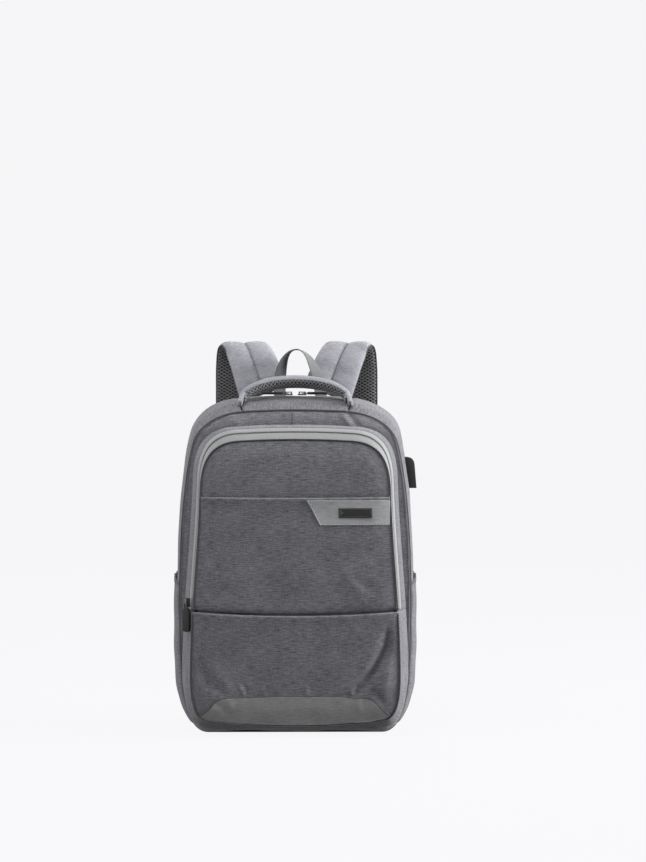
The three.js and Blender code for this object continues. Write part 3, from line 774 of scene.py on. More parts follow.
def top_wall():
    grid = wrapped(body_ring, FRONT_Y, ZIP_FRONT_Y, SEAM_SHARE + 0.0004, 0.9996 - SEAM_SHARE, 26, 130)
    x, y = grid[..., 0], grid[..., 1]
    grid[..., 2] += 0.6 * (np.sin(x * 1.7 + np.sin(x * 0.31) * 2) * np.exp(-(y - FRONT_Y) / 10))
    heather("top_panel", rolled(grid, ALL_SIDES, 1.5, 1.8, 0.6, 60, 4), TUB, along_rows=True)


def base_wall():
    """The base joins the two side panels under the bag."""
    shares = np.concatenate([np.linspace(1 - BASE_SHARE, 1, 25), np.linspace(0, BASE_SHARE, 25)[1:]])
    grid = np.array([rounds(body_ring, y, shares) for y in FRONT_Y + 95 * spaced(20)])
    grid[..., 2] = np.maximum(grid[..., 2], 0.2)
    heather("base_panel", rolled(grid, ALL_SIDES, 1.0, 2.0, 0.0), TUB, 2.6, along_rows=True)
    # A dark cord low along the front edge of the base: partly the real seam, partly a painted contact shadow where
    # the bag meets the floor.
    half = np.linspace(0, BASE_SHARE * 0.97, 60)
    line = rounds(body_ring, FRONT_Y, np.concatenate([1 - half[:0:-1], half]), -0.8)
    cord("base_piping", line + [0, -2.4, 1.5], 1.3, DARK_CORD, TUB)


def front_wall():
    """The front wall, with a seam a little off the middle above the pocket."""
    ring = whole(BODY_HALF[:, :2]) * [152.6 / 159.5, 428 / 450] + [0, 1]
    flat = inside(ring, None, None, 90, 120)
    far = from_outline(flat, ring)
    above = clamped((flat[..., 1] - 392) / 16)
    swell = (3.2 + 3.8 * above) * np.sin(clamped(far / 18) * math.pi / 2) - 1.0 * np.exp(-far / 2.0)
    creases = ridge(flat, 4.0, 2.8, (60, 429), (66, 420), (78, 402))
    creases += ridge(flat, 4.0, -2.2, (69, 429), (75, 420), (87, 402))
    creases += ridge(flat, 6, 1.8, (-92, 426), (-82, 416), (-68, 402))
    grid = stood_at(flat, -36.6 - swell - creases - 0.5 * ripple(flat[..., 0], flat[..., 1], 60, 8))
    piece = heather("main_front_panel", grid[::-1], TUB, 2.0)
    # A dark cord on the seam: the real seam, and painted shade in place of its narrow groove.
    seam = np.stack([np.full(20, -4.0), np.linspace(406, 430, 20)], axis=1)
    cord("main_front_seam", laid_line(surface_of(piece), seam, 0.15, -46.0), 0.85, DARK_CORD, TUB, sides=6)
    line = rounds(body_ring, FRONT_Y, np.linspace(BASE_SHARE, 1 - BASE_SHARE, 400), -0.2)
    cord("main_front_piping", line + [0, -1.3, 0], 0.85, SEAM_CORD, TUB)


side_walls()
top_wall()
base_wall()
front_wall()


# ---- Front pocket ----

FOLD_SHARE = share_at_height(pocket_ring(-75), 165)
FACE_RING = pocket_ring(-80, -1.4)


def pocket_gusset():
    upper = wrapped(pocket_ring, -39, -62, FOLD_SHARE, 1 - FOLD_SHARE, 12, 300)
    upper = rolled(upper, ("first", "last"), -1.2, 1.8, -0.5, 60, 12)
    heather("front_pocket_gusset", upper, TUB, 1.8, along_rows=True, flip=True)
    # Below the zip the gusset is one piece from the bag to the piping.
    half = FOLD_SHARE * spaced(90, 0.1)
    shares = np.concatenate([1 - half[::-1], half[1:]])
    corner_ring = body_ring(FRONT_Y, -0.8)
    corner_ring = corner_ring[: len(corner_ring) // 2]
    corner_turn = np.arctan2(corner_ring[:, 1] - 80, corner_ring[:, 0])
    grid = []
    for y in -39 - 40.4 * spaced(20):
        x, z = along(pocket_ring(y), shares).T
        # At the bag's lower corners the gusset reaches out to the seam of the base.
        share = clamped((79 + y) / 40) ** 1.6 * clamped((84 - z) / 50) * clamped((np.abs(x) - 50) / 55)
        turn = np.arctan2(z - 80, np.abs(x))
        reach = np.array([np.interp(turn, corner_turn, column) for column in corner_ring.T])
        x = x + share * (np.sign(x) * reach[0] - x)
        z = z + share * (reach[1] - z)
        grid.append(np.stack([x, np.full(len(shares), y), z], axis=1))
    grid = rolled(np.array(grid), ALL_SIDES, -1.0, 1.8, -0.7, 70, 14)
    heather("front_pocket_lower_gusset", grid, TUB, 1.8, along_rows=True, flip=True)


def face_depth(flat):
    """How far forward the pocket's padded face stands: rolled in at its edge, and softly full."""
    far = from_outline(flat, FACE_RING)
    crown = np.sin(clamped(far / 26) * math.pi / 2)
    full = np.sin(clamped(far / 120) * math.pi / 2)
    return -79.6 - 3.3 * crown - 1.6 * full


def lip(fold, proud, back):
    """A folded edge that stands proud of the panel behind it, and rounds over at its very end."""
    return back * np.exp(-fold / 1.0) - proud * np.exp(-fold / 13)


# Soft folds over the middle and the foot panel: width, height, and the points that each runs through.
MIDDLE_FOLDS = [
    (9, 0.9, (60, 225), (72, 205), (95, 180)),
    (6, -0.7, (70, 215), (110, 185)),
]
FOOT_FOLDS = [
    (7.5, -7.5, (123, 146), (119, 118), (103, 88), (74, 55)),
    (10, 2.4, (108, 130), (98, 100), (82, 76), (60, 50)),
    (9, 2.2, (130, 104), (120, 76), (108, 52)),
    (5, -1.6, (100, 66), (108, 56), (116, 40)),
    (8, -2.0, (-122, 96), (-112, 74), (-92, 56)),
    (8, 1.4, (-112, 100), (-100, 78), (-84, 60)),
    (4, -0.9, (-108, 48), (-96, 40), (-90, 30)),
    (4, 0.9, (-88, 52), (-84, 42), (-84, 32)),
    (4, 1.1, (84, 52), (82, 42), (84, 32)),
]
# Small creases above the foot patch: where each starts, how far it leans, and its height.
for x, lean, size in ((72, 5, 1.4), (-68, -4, 1.1), (14.5, 1, 0.8), (-41, -3, 0.5), (43, 3, 0.4)):
    FOOT_FOLDS.append((2.8, size, (x, 55), (x + lean * 0.4, 62), (x + lean, 70)))
    FOOT_FOLDS.append((2.8, -size * 0.8, (x + 4, 55), (x + 5 + lean * 0.4, 62), (x + 5 + lean, 70)))


def face_panel(name, flat, body, ripples, folds, edge, tuck=None, fold_lip=None):
    """A panel of the pocket's face; its foot may be tucked in, and its top edge folded over."""
    waves = sum(ripple(flat[..., 0], flat[..., 1], wave, seed) * size for wave, seed, size in ripples)
    waves = waves + sum(ridge(flat, *fold) for fold in folds)
    waves = waves * clamped(from_outline(flat, FACE_RING) / edge)
    depth = face_depth(flat) - waves
    if fold_lip:
        depth = depth + lip(edge_distance(stood_at(flat, 0.0), ("last",)), *fold_lip)
    if tuck:
        depth = depth + tuck[0] * np.exp(-edge_distance(stood_at(flat, 0.0), ("first",)) / tuck[1])
    return heather(name, stood_at(flat, depth)[::-1], body, 1.8)


def face_panels():
    flat = inside(FACE_RING, QUICK_Z - 2, None, 60, 130)
    face_panel("flap_upper_panel", flat, FLAP, [(75, 21, 0.55), (30, 22, 0.15)], [], 20, (1.6, 4))
    flat = inside(FACE_RING, FLAP_Z + 0.9, QUICK_Z + 1.5, 90, 130, low_bow=-5.0, high_bow=-1.2)
    ripples = [(80, 31, 0.8), (34, 32, 0.22)]
    middle = face_panel("flap_lower_panel", flat, FLAP, ripples, MIDDLE_FOLDS, 18, (2.6, 3.5), (3.0, 3.4))
    flat = inside(FACE_RING, None, FLAP_Z + 0.2, 110, 200, high_bow=-5.2)
    foot = face_panel("foot_panel", flat, TUB, [(90, 41, 0.8), (36, 42, 0.2)], FOOT_FOLDS, 14, None, (2.0, 2.6))
    return middle, foot


def pocket_trim():
    low, high = FOLD_SHARE, 1 - FOLD_SHARE
    for name, y0, y1, inset, grow, body, seed in (
        ("front_zip_tape_gusset", -62.3, -70.3, 0, 0.0, TUB, 51),
        ("front_zip_tape_flap", -70.7, -79.2, 0.002, -0.5, FLAP, 52),
    ):
        tape = wrapped(pocket_ring, y0, y1, low + inset, high - inset, 9, 300, grow)
        tape = rolled(tape, ("first", "last"), -0.8, 1.2, -0.15, 30, seed)
        place(cloth(name, tape, ZIP_TAPE, 0.9, flip=True), body, "light_trim")
    path = rounds(pocket_ring, -70.5, np.linspace(low, high, 500), -1.2)
    place(row_of("front_zip_coil", TEETH, [path], 1.9, (1.2, 4.4, 1.5), LIGHT_COIL), TUB, "dark_trim")
    path = rounds(pocket_ring, -80.2, np.linspace(low + 0.0015, high - 0.0015, 500), -0.3)
    cord("flap_piping", path, 0.95, DARK_CORD, FLAP)
    path = rounds(pocket_ring, -80, np.linspace(-low + 0.002, low - 0.002, 300) % 1, -0.3)
    cord("foot_piping", path - [0, 0.2, 0], 0.95, DARK_CORD, TUB)


pocket_gusset()
MIDDLE, FOOT = face_panels()
pocket_trim()


# ---- Patches and the badge ----


def laid_grid(surface, flat, lift):
    """Flat (x, z) points dropped on a surface from the front, and raised by a lift that may vary."""
    lift = np.broadcast_to(lift, flat.shape[:2])
    out = np.zeros(flat.shape[:2] + (3,))
    for i in np.ndindex(flat.shape[:2]):
        x, z = flat[i]
        hit, normal, _, _ = surface.ray_cast(Vector((x * MM, -0.2, z * MM)), Vector((0, 1, 0)))
        if hit is None:
            hit, normal, _, _ = surface.find_nearest(Vector((x * MM, -0.082, z * MM)))
            normal = Vector((0, -1, 0))
        out[i] = np.array(hit) / MM + np.array(normal) * lift[i]
    return out


def foot_patch():
    """Reinforcing patch at the pocket's foot, whose slanted ends run into the pocket's lower corners."""
    ring = FACE_RING
    right = float(np.interp(126, ring[:200, 0], np.arange(200))) / (len(ring) - 1)
    turned = np.roll(ring[:-1], len(ring) // 2, axis=0)
    foot = along(turned, 0.5 - right + 2 * right * spaced(120))
    top = straight((-96, 52.2), (96, 52.2), 120, 2.7)
    left, right = (
        line_on([corner, (sign * 113.5, 38.5), (sign * 104, 48.6), (sign * 96, 52.2)], 30)
        for sign, corner in ((-1, foot[0]), (1, foot[-1]))
    )
    flat = coons(foot, top, left, right)
    far = edge_distance(stood_at(flat, 0.0), ("last", "near", "rear"))
    lift = 0.9 - 0.9 * np.exp(-far / 1.2) + 0.35 * ripple(flat[..., 0], flat[..., 1], 26, 61)
    grid = laid_grid(surface_of(FOOT), flat, lift)
    piece = place(cloth("foot_patch", grid[::-1], FOOT_PATCH, 1.0), TUB, "light_trim")
    skin = surface_of(FOOT, piece)
    for name, line, size, lift in (("left", left, 0.75, 0.1), ("right", right, 0.75, 0.1), ("top", top, 0.6, 0.05)):
        cord(f"foot_patch_edge_{name}", laid_line(skin, line, lift), size, DARK_CORD, TUB, sides=6)
    row = laid_line(skin, straight((-95, 49.8), (95, 49.8), 80, 2.7), 0.15)
    stitches("foot_patch_stitches", [row], 3.4, (2.3, 0.45, 0.4), TUB, "light_trim")


def badge_patch():
    """Badge patch, whose left edge slants and whose right end runs into the flap's seam."""
    top_left, low_left, top_right, low_right = np.array([(16, 311.5), (33, 278), (124, 311.5), (124, 278)], float)
    rows = []
    for share in spaced(34)[::-1]:
        a, b = top_left * (1 - share) + low_left * share, top_right * (1 - share) + low_right * share
        rows.append(straight(a, b, 90))
    flat = np.array(rows)
    seam = [FACE_RING[round(share_at_height(FACE_RING, z) * (len(FACE_RING) - 1)), 0] for z in (278, 311)]
    flat[..., 0] = np.minimum(flat[..., 0], np.interp(flat[..., 1], [270, 320], seam) - 0.5)
    far = edge_distance(stood_at(flat, 0.0), ("first", "near"))
    grid = laid_grid(surface_of(MIDDLE), flat, 1.0 - 0.8 * np.exp(-far / 1.0))
    # The patch's cloth is its own paler tone plus a painted highlight.
    piece = place(cloth("badge_patch", grid[::-1], PALE_PATCH_PAINTED_LIT, 1.0), FLAP, "light_trim")
    skin = surface_of(MIDDLE, piece)
    edge = laid_line(skin, line_on([(16, 311), (24, 295), (33, 278)], 40), 0.2, -86.0)
    cord("badge_patch_edge", edge, 0.75, PALE_CORD, FLAP, "light_trim", sides=6)
    rows = straight((34.5, 279.6), (120, 279.6), 60), line_on([(19.5, 309.5), (26.5, 295), (34.5, 280.5)], 30)
    rows = [laid_line(skin, row, 0.12, -86.0) for row in rows]
    stitches("badge_patch_stitches", rows, 4.2, (2.7, 1.0, 0.7), FLAP, "light_trim", PALE_THREAD)


foot_patch()
badge_patch()


# ---- Hardware ----


def softened(name, finish, width, angle=30):
    """A CAD piece with its edges rounded, in a finish of its own."""
    piece = linked(name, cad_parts[name].data.copy())
    piece.data.materials.clear()
    piece.data.materials.append(finish)
    with edited(piece.data) as work:
        bmesh.ops.remove_doubles(work, verts=work.verts, dist=0.00002)
        bmesh.ops.dissolve_limit(work, angle_limit=math.radians(1), verts=work.verts, edges=work.edges)
    bevel = {"width": width * MM, "segments": 3, "limit_method": "ANGLE", "angle_limit": math.radians(angle)}
    finished(piece, ("BEVEL", {**bevel, "harden_normals": False, "use_clamp_overlap": True}))
    smoothed(piece.data)
    with edited(piece.data) as work:
        for edge in work.edges:
            if len(edge.link_faces) == 2:
                edge.smooth = edge.calc_face_angle() < math.radians(35)
    return piece


def badge_plate():
    """A blank plate with a raised rim and a slanted facet at its left end."""
    place(softened("badge_plate", BADGE, 0.5), FLAP, "black_metal")
    low, high = (np.array(corner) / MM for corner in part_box("badge_plate"))
    rim = np.array([(low[0], high[2]), (high[0], high[2]), (high[0], low[2]), (low[0], low[2])])
    rim += np.array([(1.6, -1.6), (-1.6, -1.6), (-1.6, 1.6), (1.6, 1.6)])
    t = np.linspace(0, 1, 12, endpoint=False)[:, None]
    path = np.vstack([a + (b - a) * t for a, b in zip(rim, np.roll(rim, -1, axis=0))])
    path = stood_at(path[None], low[1] - 0.1)[0]
    cord("badge_plate_rim", path, 0.3, GUNMETAL, FLAP, "black_metal", closed_line=True, sides=6)
    x, y, z = low[0] + 2.4, low[1], (low[2] + high[2]) / 2
    facet = [(x, y - 0.1, z - 4), (x, y - 0.1, z + 4), (x + 4.4, y - 0.1, z), (x + 1.4, y - 0.9, z)]
    piece = mesh_of("badge_plate_facet", facet, [(0, 2, 3), (2, 1, 3), (1, 0, 3), (0, 1, 2)], smooth=False)
    piece.data.materials.append(GUNMETAL)
    mend(piece)
    place(piece, FLAP, "black_metal")


def hardware():
    for side, _ in SIDES:
        name = f"main_slider_{side}"
        place(softened(name, GUNMETAL, 0.45), name, "black_metal")
        name = f"main_pull_{side}"
        place(softened(name, RUBBER, 0.5, angle=40), name, "rubber")
        place(softened(f"ladder_lock_{side}", PLASTIC, 0.9), f"strap_{side}", "black_plastic")
    place(softened("front_slider", GUNMETAL, 0.45), "front_slider", "black_metal")
    place(softened("front_pull", RUBBER, 0.6, angle=40), "front_pull", "rubber")
    for part, finish, slot, width in (
        ("housing", PLASTIC, "black_plastic", 1.3),
        ("socket", STEEL, "steel", 0.15),
        ("tongue", PLASTIC, "black_plastic", 0.25),
        ("washer", PLASTIC, "black_plastic", 0.5),
    ):
        place(softened(f"usb_port_{part}", finish, width), TUB, slot)


badge_plate()
hardware()


# ---- Main zip and the band behind it ----


def main_zip():
    low, high = ZIP_END, 1 - ZIP_END
    for name, y0, y1, side, body, seed in (
        ("main_zip_tape_front", ZIP_FRONT_Y + 0.3, 47.5, "first", TUB, 71),
        ("main_zip_tape_rear", 47.9, 53.2, "last", BACK, 72),
    ):
        tape = rolled(wrapped(body_ring, y0, y1, low, high, 7, 300), (side,), 0.8, 1.2, 0.1, 40, seed)
        place(cloth(name, tape, DARK_TAPE, 1.0), body, "dark_trim")
    path = rounds(body_ring, 47.7, np.linspace(low, high, 600), 0.2)
    place(row_of("main_zip_coil", TEETH, [path], 2.1, (1.4, 4.2, 2.0), COIL), TUB, "dark_trim")
    band = rolled(wrapped(body_ring, 53.4, 60.0, low, high, 9, 300), ("first", "last"), 1.2, 1.6, 0.3, 60, 73)
    heather("back_band", band, BACK)
    path = rounds(body_ring, 60, np.linspace(0.0, 1.0, 700), -0.6)[:-1] + [0, 0.9, 0]
    cord("back_piping", path, 1.3, DARK_CORD, BACK, closed_line=True)


main_zip()


# ---- Side pockets ----


def pocket_side(y, z_shares, top, proud=0.0):
    """A row of points up the side of the bag at one depth, lifted off the wall."""
    ring = body_ring(y)
    low, high = share_at_height(ring, 12), share_at_height(ring, top)
    shares = low + (high - low) * z_shares
    x, z = along(ring, shares).T
    ahead = unit(along(ring, shares + 0.0005) - along(ring, shares - 0.0005))
    height = pocket_lift(y, z, top) + proud
    return np.stack([x + ahead[:, 1] * height, np.full(len(x), y), z - ahead[:, 0] * height], axis=1)


def pocket_lift(y, z, top):
    """How far the pocket stands off the wall: full low down, and gathered at its mouth."""
    s = clamped((y + 33.4) / 72)
    edge = min(y + 33.6, 38.6 - y)
    full = np.interp(z, [12, 30, 60, 110, 160, 195, 213], [3.0, 5.6, 7.0, 5.6, 4.0, 3.2, 3.4])
    swell = full * (0.35 + 0.65 * math.sin(math.pi * s) ** 0.7)
    rise = clamped((z - 11) / 24) ** 0.6
    gathers = 0.7 * np.sin(y * 0.62 + np.sin(y * 0.21) * 1.3) * np.exp(-(top - z) / 22) * (1 - math.exp(-edge / 6))
    folds = 0.8 * ripple(np.full_like(z, y), z, 55, 81)
    return 0.4 + (swell * rise + (gathers + folds) * rise) * (1 - math.exp(-edge / 1.3))


def side_pockets():
    rows, hem = [], []
    for y in -33.4 + 71.8 * spaced(44, 0.5):
        top = 211 - 13 * (38 - y) / 71 + 1.2 * math.sin(y * 0.17)
        rows.append(pocket_side(y, spaced(56, 0.3), top))
        hem.append(pocket_side(y, np.linspace(0.978, 1.003, 6), top, 0.5))
    for side, sign in SIDES:
        for name, grid, finish, slot, thick in (
            ("side_pocket", rows, HEATHER, "heather_fabric", 1.6),
            ("side_pocket_binding", hem, DARK_BINDING, "dark_trim", 2.6),
        ):
            grid = np.array(grid) * [sign, 1, 1]
            place(cloth(f"{name}_{side}", grid, finish, thick, along_rows=True, flip=sign < 0), TUB, slot)


side_pockets()


# ---- Carry handle ----


def puffed(width, low, high, power=3.0, groove=0.0):
    """A closed section: a crowned top over a flat underside, with a sewn groove along its middle."""
    half = np.array([0, 0.02, 0.05, 0.1, 0.17, 0.27, 0.4, 0.54, 0.68, 0.8, 0.9, 0.96, 0.99, 1.0])
    s = np.concatenate([-half[:0:-1], half])
    crown = np.maximum(0, 1 - np.abs(s) ** power) ** 0.5
    x = s * width / 2
    top = low + (high - low) * crown
    if groove:
        dip = (high - low) * 0.2 * (1 - np.sin(math.pi * np.abs(s) ** 0.75))
        top -= dip * crown + groove * np.exp(-np.abs(x) / 1.3)
    under = np.linspace(1, -1, 9)[1:-1]
    return np.vstack([np.stack([x, top], axis=1), np.stack([under * width / 2, np.full(7, low)], axis=1)])


def carry_handle():
    lean = math.radians(22)
    up, origin = np.array([0, math.sin(lean), math.cos(lean)]), np.array([0, -14, 447.0])
    half = bezier([(-71, 0), (-63, 13.95), (-31.95, 22.5), (0, 22.5)], np.linspace(0, 1, 12))
    left = [np.array([-74.0, -25.5, 436.5])] + [origin + [x, 0, 0] + up * h for x, h in half][1:]
    line = line_on(left + [p * [-1, 1, 1] for p in left[-2::-1]], 121)
    across = np.array([0, math.cos(lean), -math.sin(lean)])
    normal = np.cross(across, unit(np.gradient(line, axis=0))) * -1
    normal *= np.sign(normal[:, 2:] + 1e-9)
    normal[:3] = normal[3]
    normal[-3:] = normal[-4]
    reach = np.abs(line[:, 0])
    cover, mesh = [], []
    for x in reach:
        full = max(0, 1 - (x / 77) ** 5)
        width, depth = 14 + 12 * full, 0.7 + 0.3 * full
        cover.append(puffed(width, -2.2, -2.2 + 8.4 * depth, 9.0))
        if x < 72.0:
            mesh.append(puffed(width - 1.5, -2.3, -2.3 - 3.2 * depth, 3.0))
    # The cover takes the lighter heather copy, with its painted top light.
    piece = sweep("carry_handle_cover", line, cover, HEATHER_PAINTED_TOP_LIGHT, normal)
    place(piece, "carry_handle", "heather_fabric", fill=0.8)
    under = sweep("carry_handle_mesh", line[reach < 72.0], mesh, HANDLE_MESH, normal[reach < 72.0])
    place(under, "carry_handle", "air_mesh", fill=0.5)
    skin = surface_of(piece)
    rows = [laid_on(skin, (line + across * side * 10.2 + normal * 5)[reach < 66], 0.1) for side in (-1, 1)]
    stitches("carry_handle_stitches", rows, 3.3, (2.3, 0.5, 0.4), "carry_handle")
    for side, sign in SIDES:
        grid = []
        for y in -30 + 25 * spaced(12):
            ring = body_ring(y)
            shares = np.linspace(share_at_side(ring, 83), share_at_side(ring, 75.6), 9)
            x, z = along(ring, shares).T
            d = np.minimum(np.minimum(x - 75, 84 - x), min(y + 31, -4 - y))
            grid.append(np.stack([x * sign, np.full(9, y), z + 0.9 * (1 - np.exp(-np.maximum(d, 0) / 2.5))], axis=1))
        anchor = cloth(f"handle_anchor_{side}", np.array(grid), HEATHER, 1.2, along_rows=True, flip=sign < 0)
        place(anchor, TUB, "heather_fabric")


carry_handle()


# ---- Hang loop ----


def flat_section(width, thickness):
    """A flat tape's section with rounded edges."""
    s = np.sin(np.linspace(-1, 1, 9) * math.pi / 2)
    h = thickness / 2 * np.maximum(0.15, 1 - np.abs(s) ** 6) ** 0.5
    top = np.stack([s * width / 2, h], axis=1)
    return np.vstack([top, (top * [1, -1])[::-1]])


def hang_loop():
    angle = math.pi * (1 - np.linspace(0, 1, 73))
    aside = 7.5 - 6 * np.sin(angle)  # the loop hangs a little to one side
    line = np.stack([28.5 * np.cos(angle) + aside, np.full(73, 64.0), 447.5 + 67 * np.sin(angle)], axis=1)
    along_it = unit(np.stack([30 * np.sin(angle), 0 * angle, -67 * np.cos(angle)], axis=1))
    outward = np.cross(np.array([0, -1, 0]), along_it)
    twist = (0.22 + 0.78 * np.sin(angle) ** 2) * math.pi / 2
    sign = np.where(np.cos(angle) >= 0, 1, -1)
    width = outward * (np.cos(twist) * sign)[:, None]
    width[:, 1] += np.sin(twist)
    sections = [flat_section(21 * (0.8 + 0.2 * math.sin(a)), 1.7) for a in angle]
    piece = sweep("hang_loop", line, sections, WEBBING, np.cross(along_it, width))
    place(piece, "hang_loop", "webbing", bend=(BACK, (0, 0.064, 0.45), (0, 0.064, 0.462)))


hang_loop()


# ---- Shoulder straps ----

STRAP_LINE = [
    (43, 75, 453), (52, 79, 478), (62, 89, 504), (71.5, 105, 520), (79.5, 121, 515), (82.5, 131, 493),
    (83, 134, 455), (83, 133, 400), (85, 128, 340), (89.5, 120, 280), (94, 110, 232),
]  # fmt: skip
WEBBING_LINE = [(97, 99.5, 192), (105, 94, 158), (117, 84, 118), (127, 77, 92), (130.5, 75.4, 79)]
TAIL_LINE = [(97, 106, 194), (99, 108, 160), (100, 108, 125), (100, 106, 92)]
KEEPER_LINE = [(94.2, 109.6, 236), (95, 107.6, 224), (95.2, 105.6, 217.5), (95.2, 103.4, 221), (94.6, 103.6, 234)]
TAB_CORNERS = np.array([(110, 30), (146, 48), (144, 77), (117, 77)], float)


def outward_of(line):
    tangent = np.gradient(line, axis=0)
    return unit(np.stack([0 * tangent[:, 0], -tangent[:, 2], tangent[:, 1]], axis=1))


def strap_width(t):
    wide = max(0, 1 - t / 0.2) * 8
    return 61 + wide - max(0, (t - 0.62) / 0.38) ** 1.4 * 25


def strap(side, sign):
    """The padded strap: its cover, its mesh lining, its bound edges and the stitches beside its groove."""
    body = f"strap_{side}"
    bend = (BACK, (sign * 0.043, 0.074, 0.46), (sign * 0.043, 0.102, 0.46))
    line = line_on(STRAP_LINE, 141) * [sign, 1, 1]
    shares = np.linspace(0, 1, 141)
    line[:, 0] += 1.6 * np.sin(clamped(shares * 1.15) * math.pi) + 0.9 * (sign > 0)
    out = outward_of(line)
    out[:6] = out[:6] * np.linspace(0, 1, 6)[:, None] + np.array([0, -1, 0]) * np.linspace(1, 0, 6)[:, None]
    cover, mesh, widths = [], [], []
    for i in range(141):
        end = min(1, 0.35 + 0.65 * (min(i, 140 - i) / 4) ** 0.5)
        uneven = 0.25 * math.sin(i * 0.45) + 0.2 * math.sin(i * 0.83 + 1)
        width = strap_width(i / 140)
        cover.append(puffed(width, -1.6, -1.6 + (7.8 + uneven) * end, 7.0, 2.8 * end))
        mesh.append(puffed(width - 2.4, -1.7, -1.7 - 4.0 * end, 4.0))
        widths.append(width)
    # The cover takes the lighter heather copy, with its painted top light.
    piece = sweep(f"strap_cover_{side}", line, cover, HEATHER_PAINTED_TOP_LIGHT, out, crosswise=True)
    place(piece, body, "heather_fabric", fill=0.8, bend=bend)
    place(sweep(f"strap_mesh_{side}", line, mesh, AIR_MESH, out), body, "air_mesh", fill=0.5, bend=bend)
    across = np.cross(unit(np.gradient(line, axis=0)), out)
    skin = surface_of(piece)
    rows = [laid_on(skin, (line + across * d + out * 6)[4:-4], 0.1) for d in (-2.3, 2.3)]
    stitches(f"strap_stitches_{side}", rows, 3.4, (2.4, 0.5, 0.4), body, bend=bend)
    half = np.array(widths)[:, None] / 2
    for index, way in enumerate((-1, 1)):
        edge = (line + across * way * (half - 0.4) + out * -1.8)[2:-2]
        bound = sweep(f"strap_edge_{index}_{side}", edge, round_section(1.0), DARK_BINDING, out[2:-2])
        place(bound, body, "dark_trim", bend=bend)


def strap_foot(side, sign):
    """The webbing below the strap, its tail, the loop that holds the ladder-lock, and the tab on the back."""
    body = f"strap_{side}"
    for name, points, count in (("strap_webbing", WEBBING_LINE, 60), ("strap_tail", TAIL_LINE, 50)):
        route = line_on(points, count) * [sign, 1, 1]
        face = outward_of(route)
        route = route + face * (0.25 * np.sin(np.linspace(0, 9, count)))[:, None]
        place(sweep(f"{name}_{side}", route, flat_section(25, 1.6), WEBBING, face), body, "webbing")
    loop = line_on(KEEPER_LINE, 26) * [sign, 1, 1]
    face = np.cross(np.array([1.0, 0, 0]), np.gradient(loop, axis=0))
    place(sweep(f"strap_keeper_{side}", loop, flat_section(25, 1.4), WEBBING, face), body, "webbing")

    v, u = np.meshgrid(spaced(14), spaced(14), indexing="ij")
    shares = ((1 - v) * (1 - u), (1 - v) * u, v * u, v * (1 - u))
    flat = sum(share[..., None] * corner for share, corner in zip(shares, TAB_CORNERS * [sign, 1]))
    far = np.minimum(np.minimum(v, 1 - v), np.minimum(u, 1 - u)) * 36
    grid = stood_at(flat, 69.6 + 2.2 * (1 - np.exp(-far / 2.4)))
    place(cloth(f"strap_tab_{side}", grid, HEATHER, 4.0, flip=sign < 0), BACK, "heather_fabric")


def yoke():
    """The padded bar that both straps are sewn to."""
    line = np.stack([np.linspace(-76, 76, 60), np.full(60, 74.6), np.full(60, 437.2)], axis=1)
    a = np.linspace(0, 2 * math.pi, 28, endpoint=False)
    shape = []
    for i in range(60):
        end = min(1, 0.4 + 0.6 * (min(i, 59 - i) / 3) ** 0.5)
        z = np.sign(np.sin(a)) * np.abs(np.sin(a)) ** 0.45 * 13.1
        y = np.sign(np.cos(a)) * np.abs(np.cos(a)) ** 0.6 * 4.2 * end * (1 + 0.05 * math.sin(i * 0.6))
        shape.append(np.stack([z, y], axis=1))
    piece = place(sweep("strap_yoke", line, shape, HEATHER, (0, 1, 0)), BACK, "heather_fabric", fill=0.6)
    skin = surface_of(piece)
    rows = [laid_on(skin, line[3:-3] + [0, 8, h], 0.1) for h in (-9.5, 9.5)]
    stitches("strap_yoke_stitches", rows, 3.4, (2.4, 0.5, 0.4), BACK)


for side, sign in SIDES:
    strap(side, sign)
    strap_foot(side, sign)
yoke()


# ---- Back ----


def simulated(piece, low, high, cap, voxel):
    """Swells a closed form as if it were filled, no further than a cap, and rounds it once more."""
    finished(piece, ("REMESH", {"mode": "VOXEL", "voxel_size": voxel * MM}))
    start = points_of(piece)
    settings = piece.modifiers.new("Cloth", "CLOTH").settings
    settings.quality = 5
    settings.mass = 0.3
    settings.use_pressure = True
    settings.uniform_pressure_force = 4
    settings.effector_weights.gravity = 0
    for frame_number in range(1, 21):
        scene.frame_set(frame_number)
    finished(piece)
    scene.frame_set(1)
    now = points_of(piece)
    if len(now) == len(start):
        move = now - start
        far = np.linalg.norm(move, axis=1, keepdims=True)
        now = start + move * np.minimum(1, cap * MM / np.maximum(far, 1e-9))
    now = np.clip(now, (np.array(low) - 2.5) * MM, (np.array(high) + 2.5) * MM)
    now[:, 1] = np.maximum(now[:, 1], (low[1] + 0.2) * MM)
    piece.data.vertices.foreach_set("co", now.ravel())
    return finished(piece, ("SUBSURF", {"levels": 1, "render_levels": 1}))


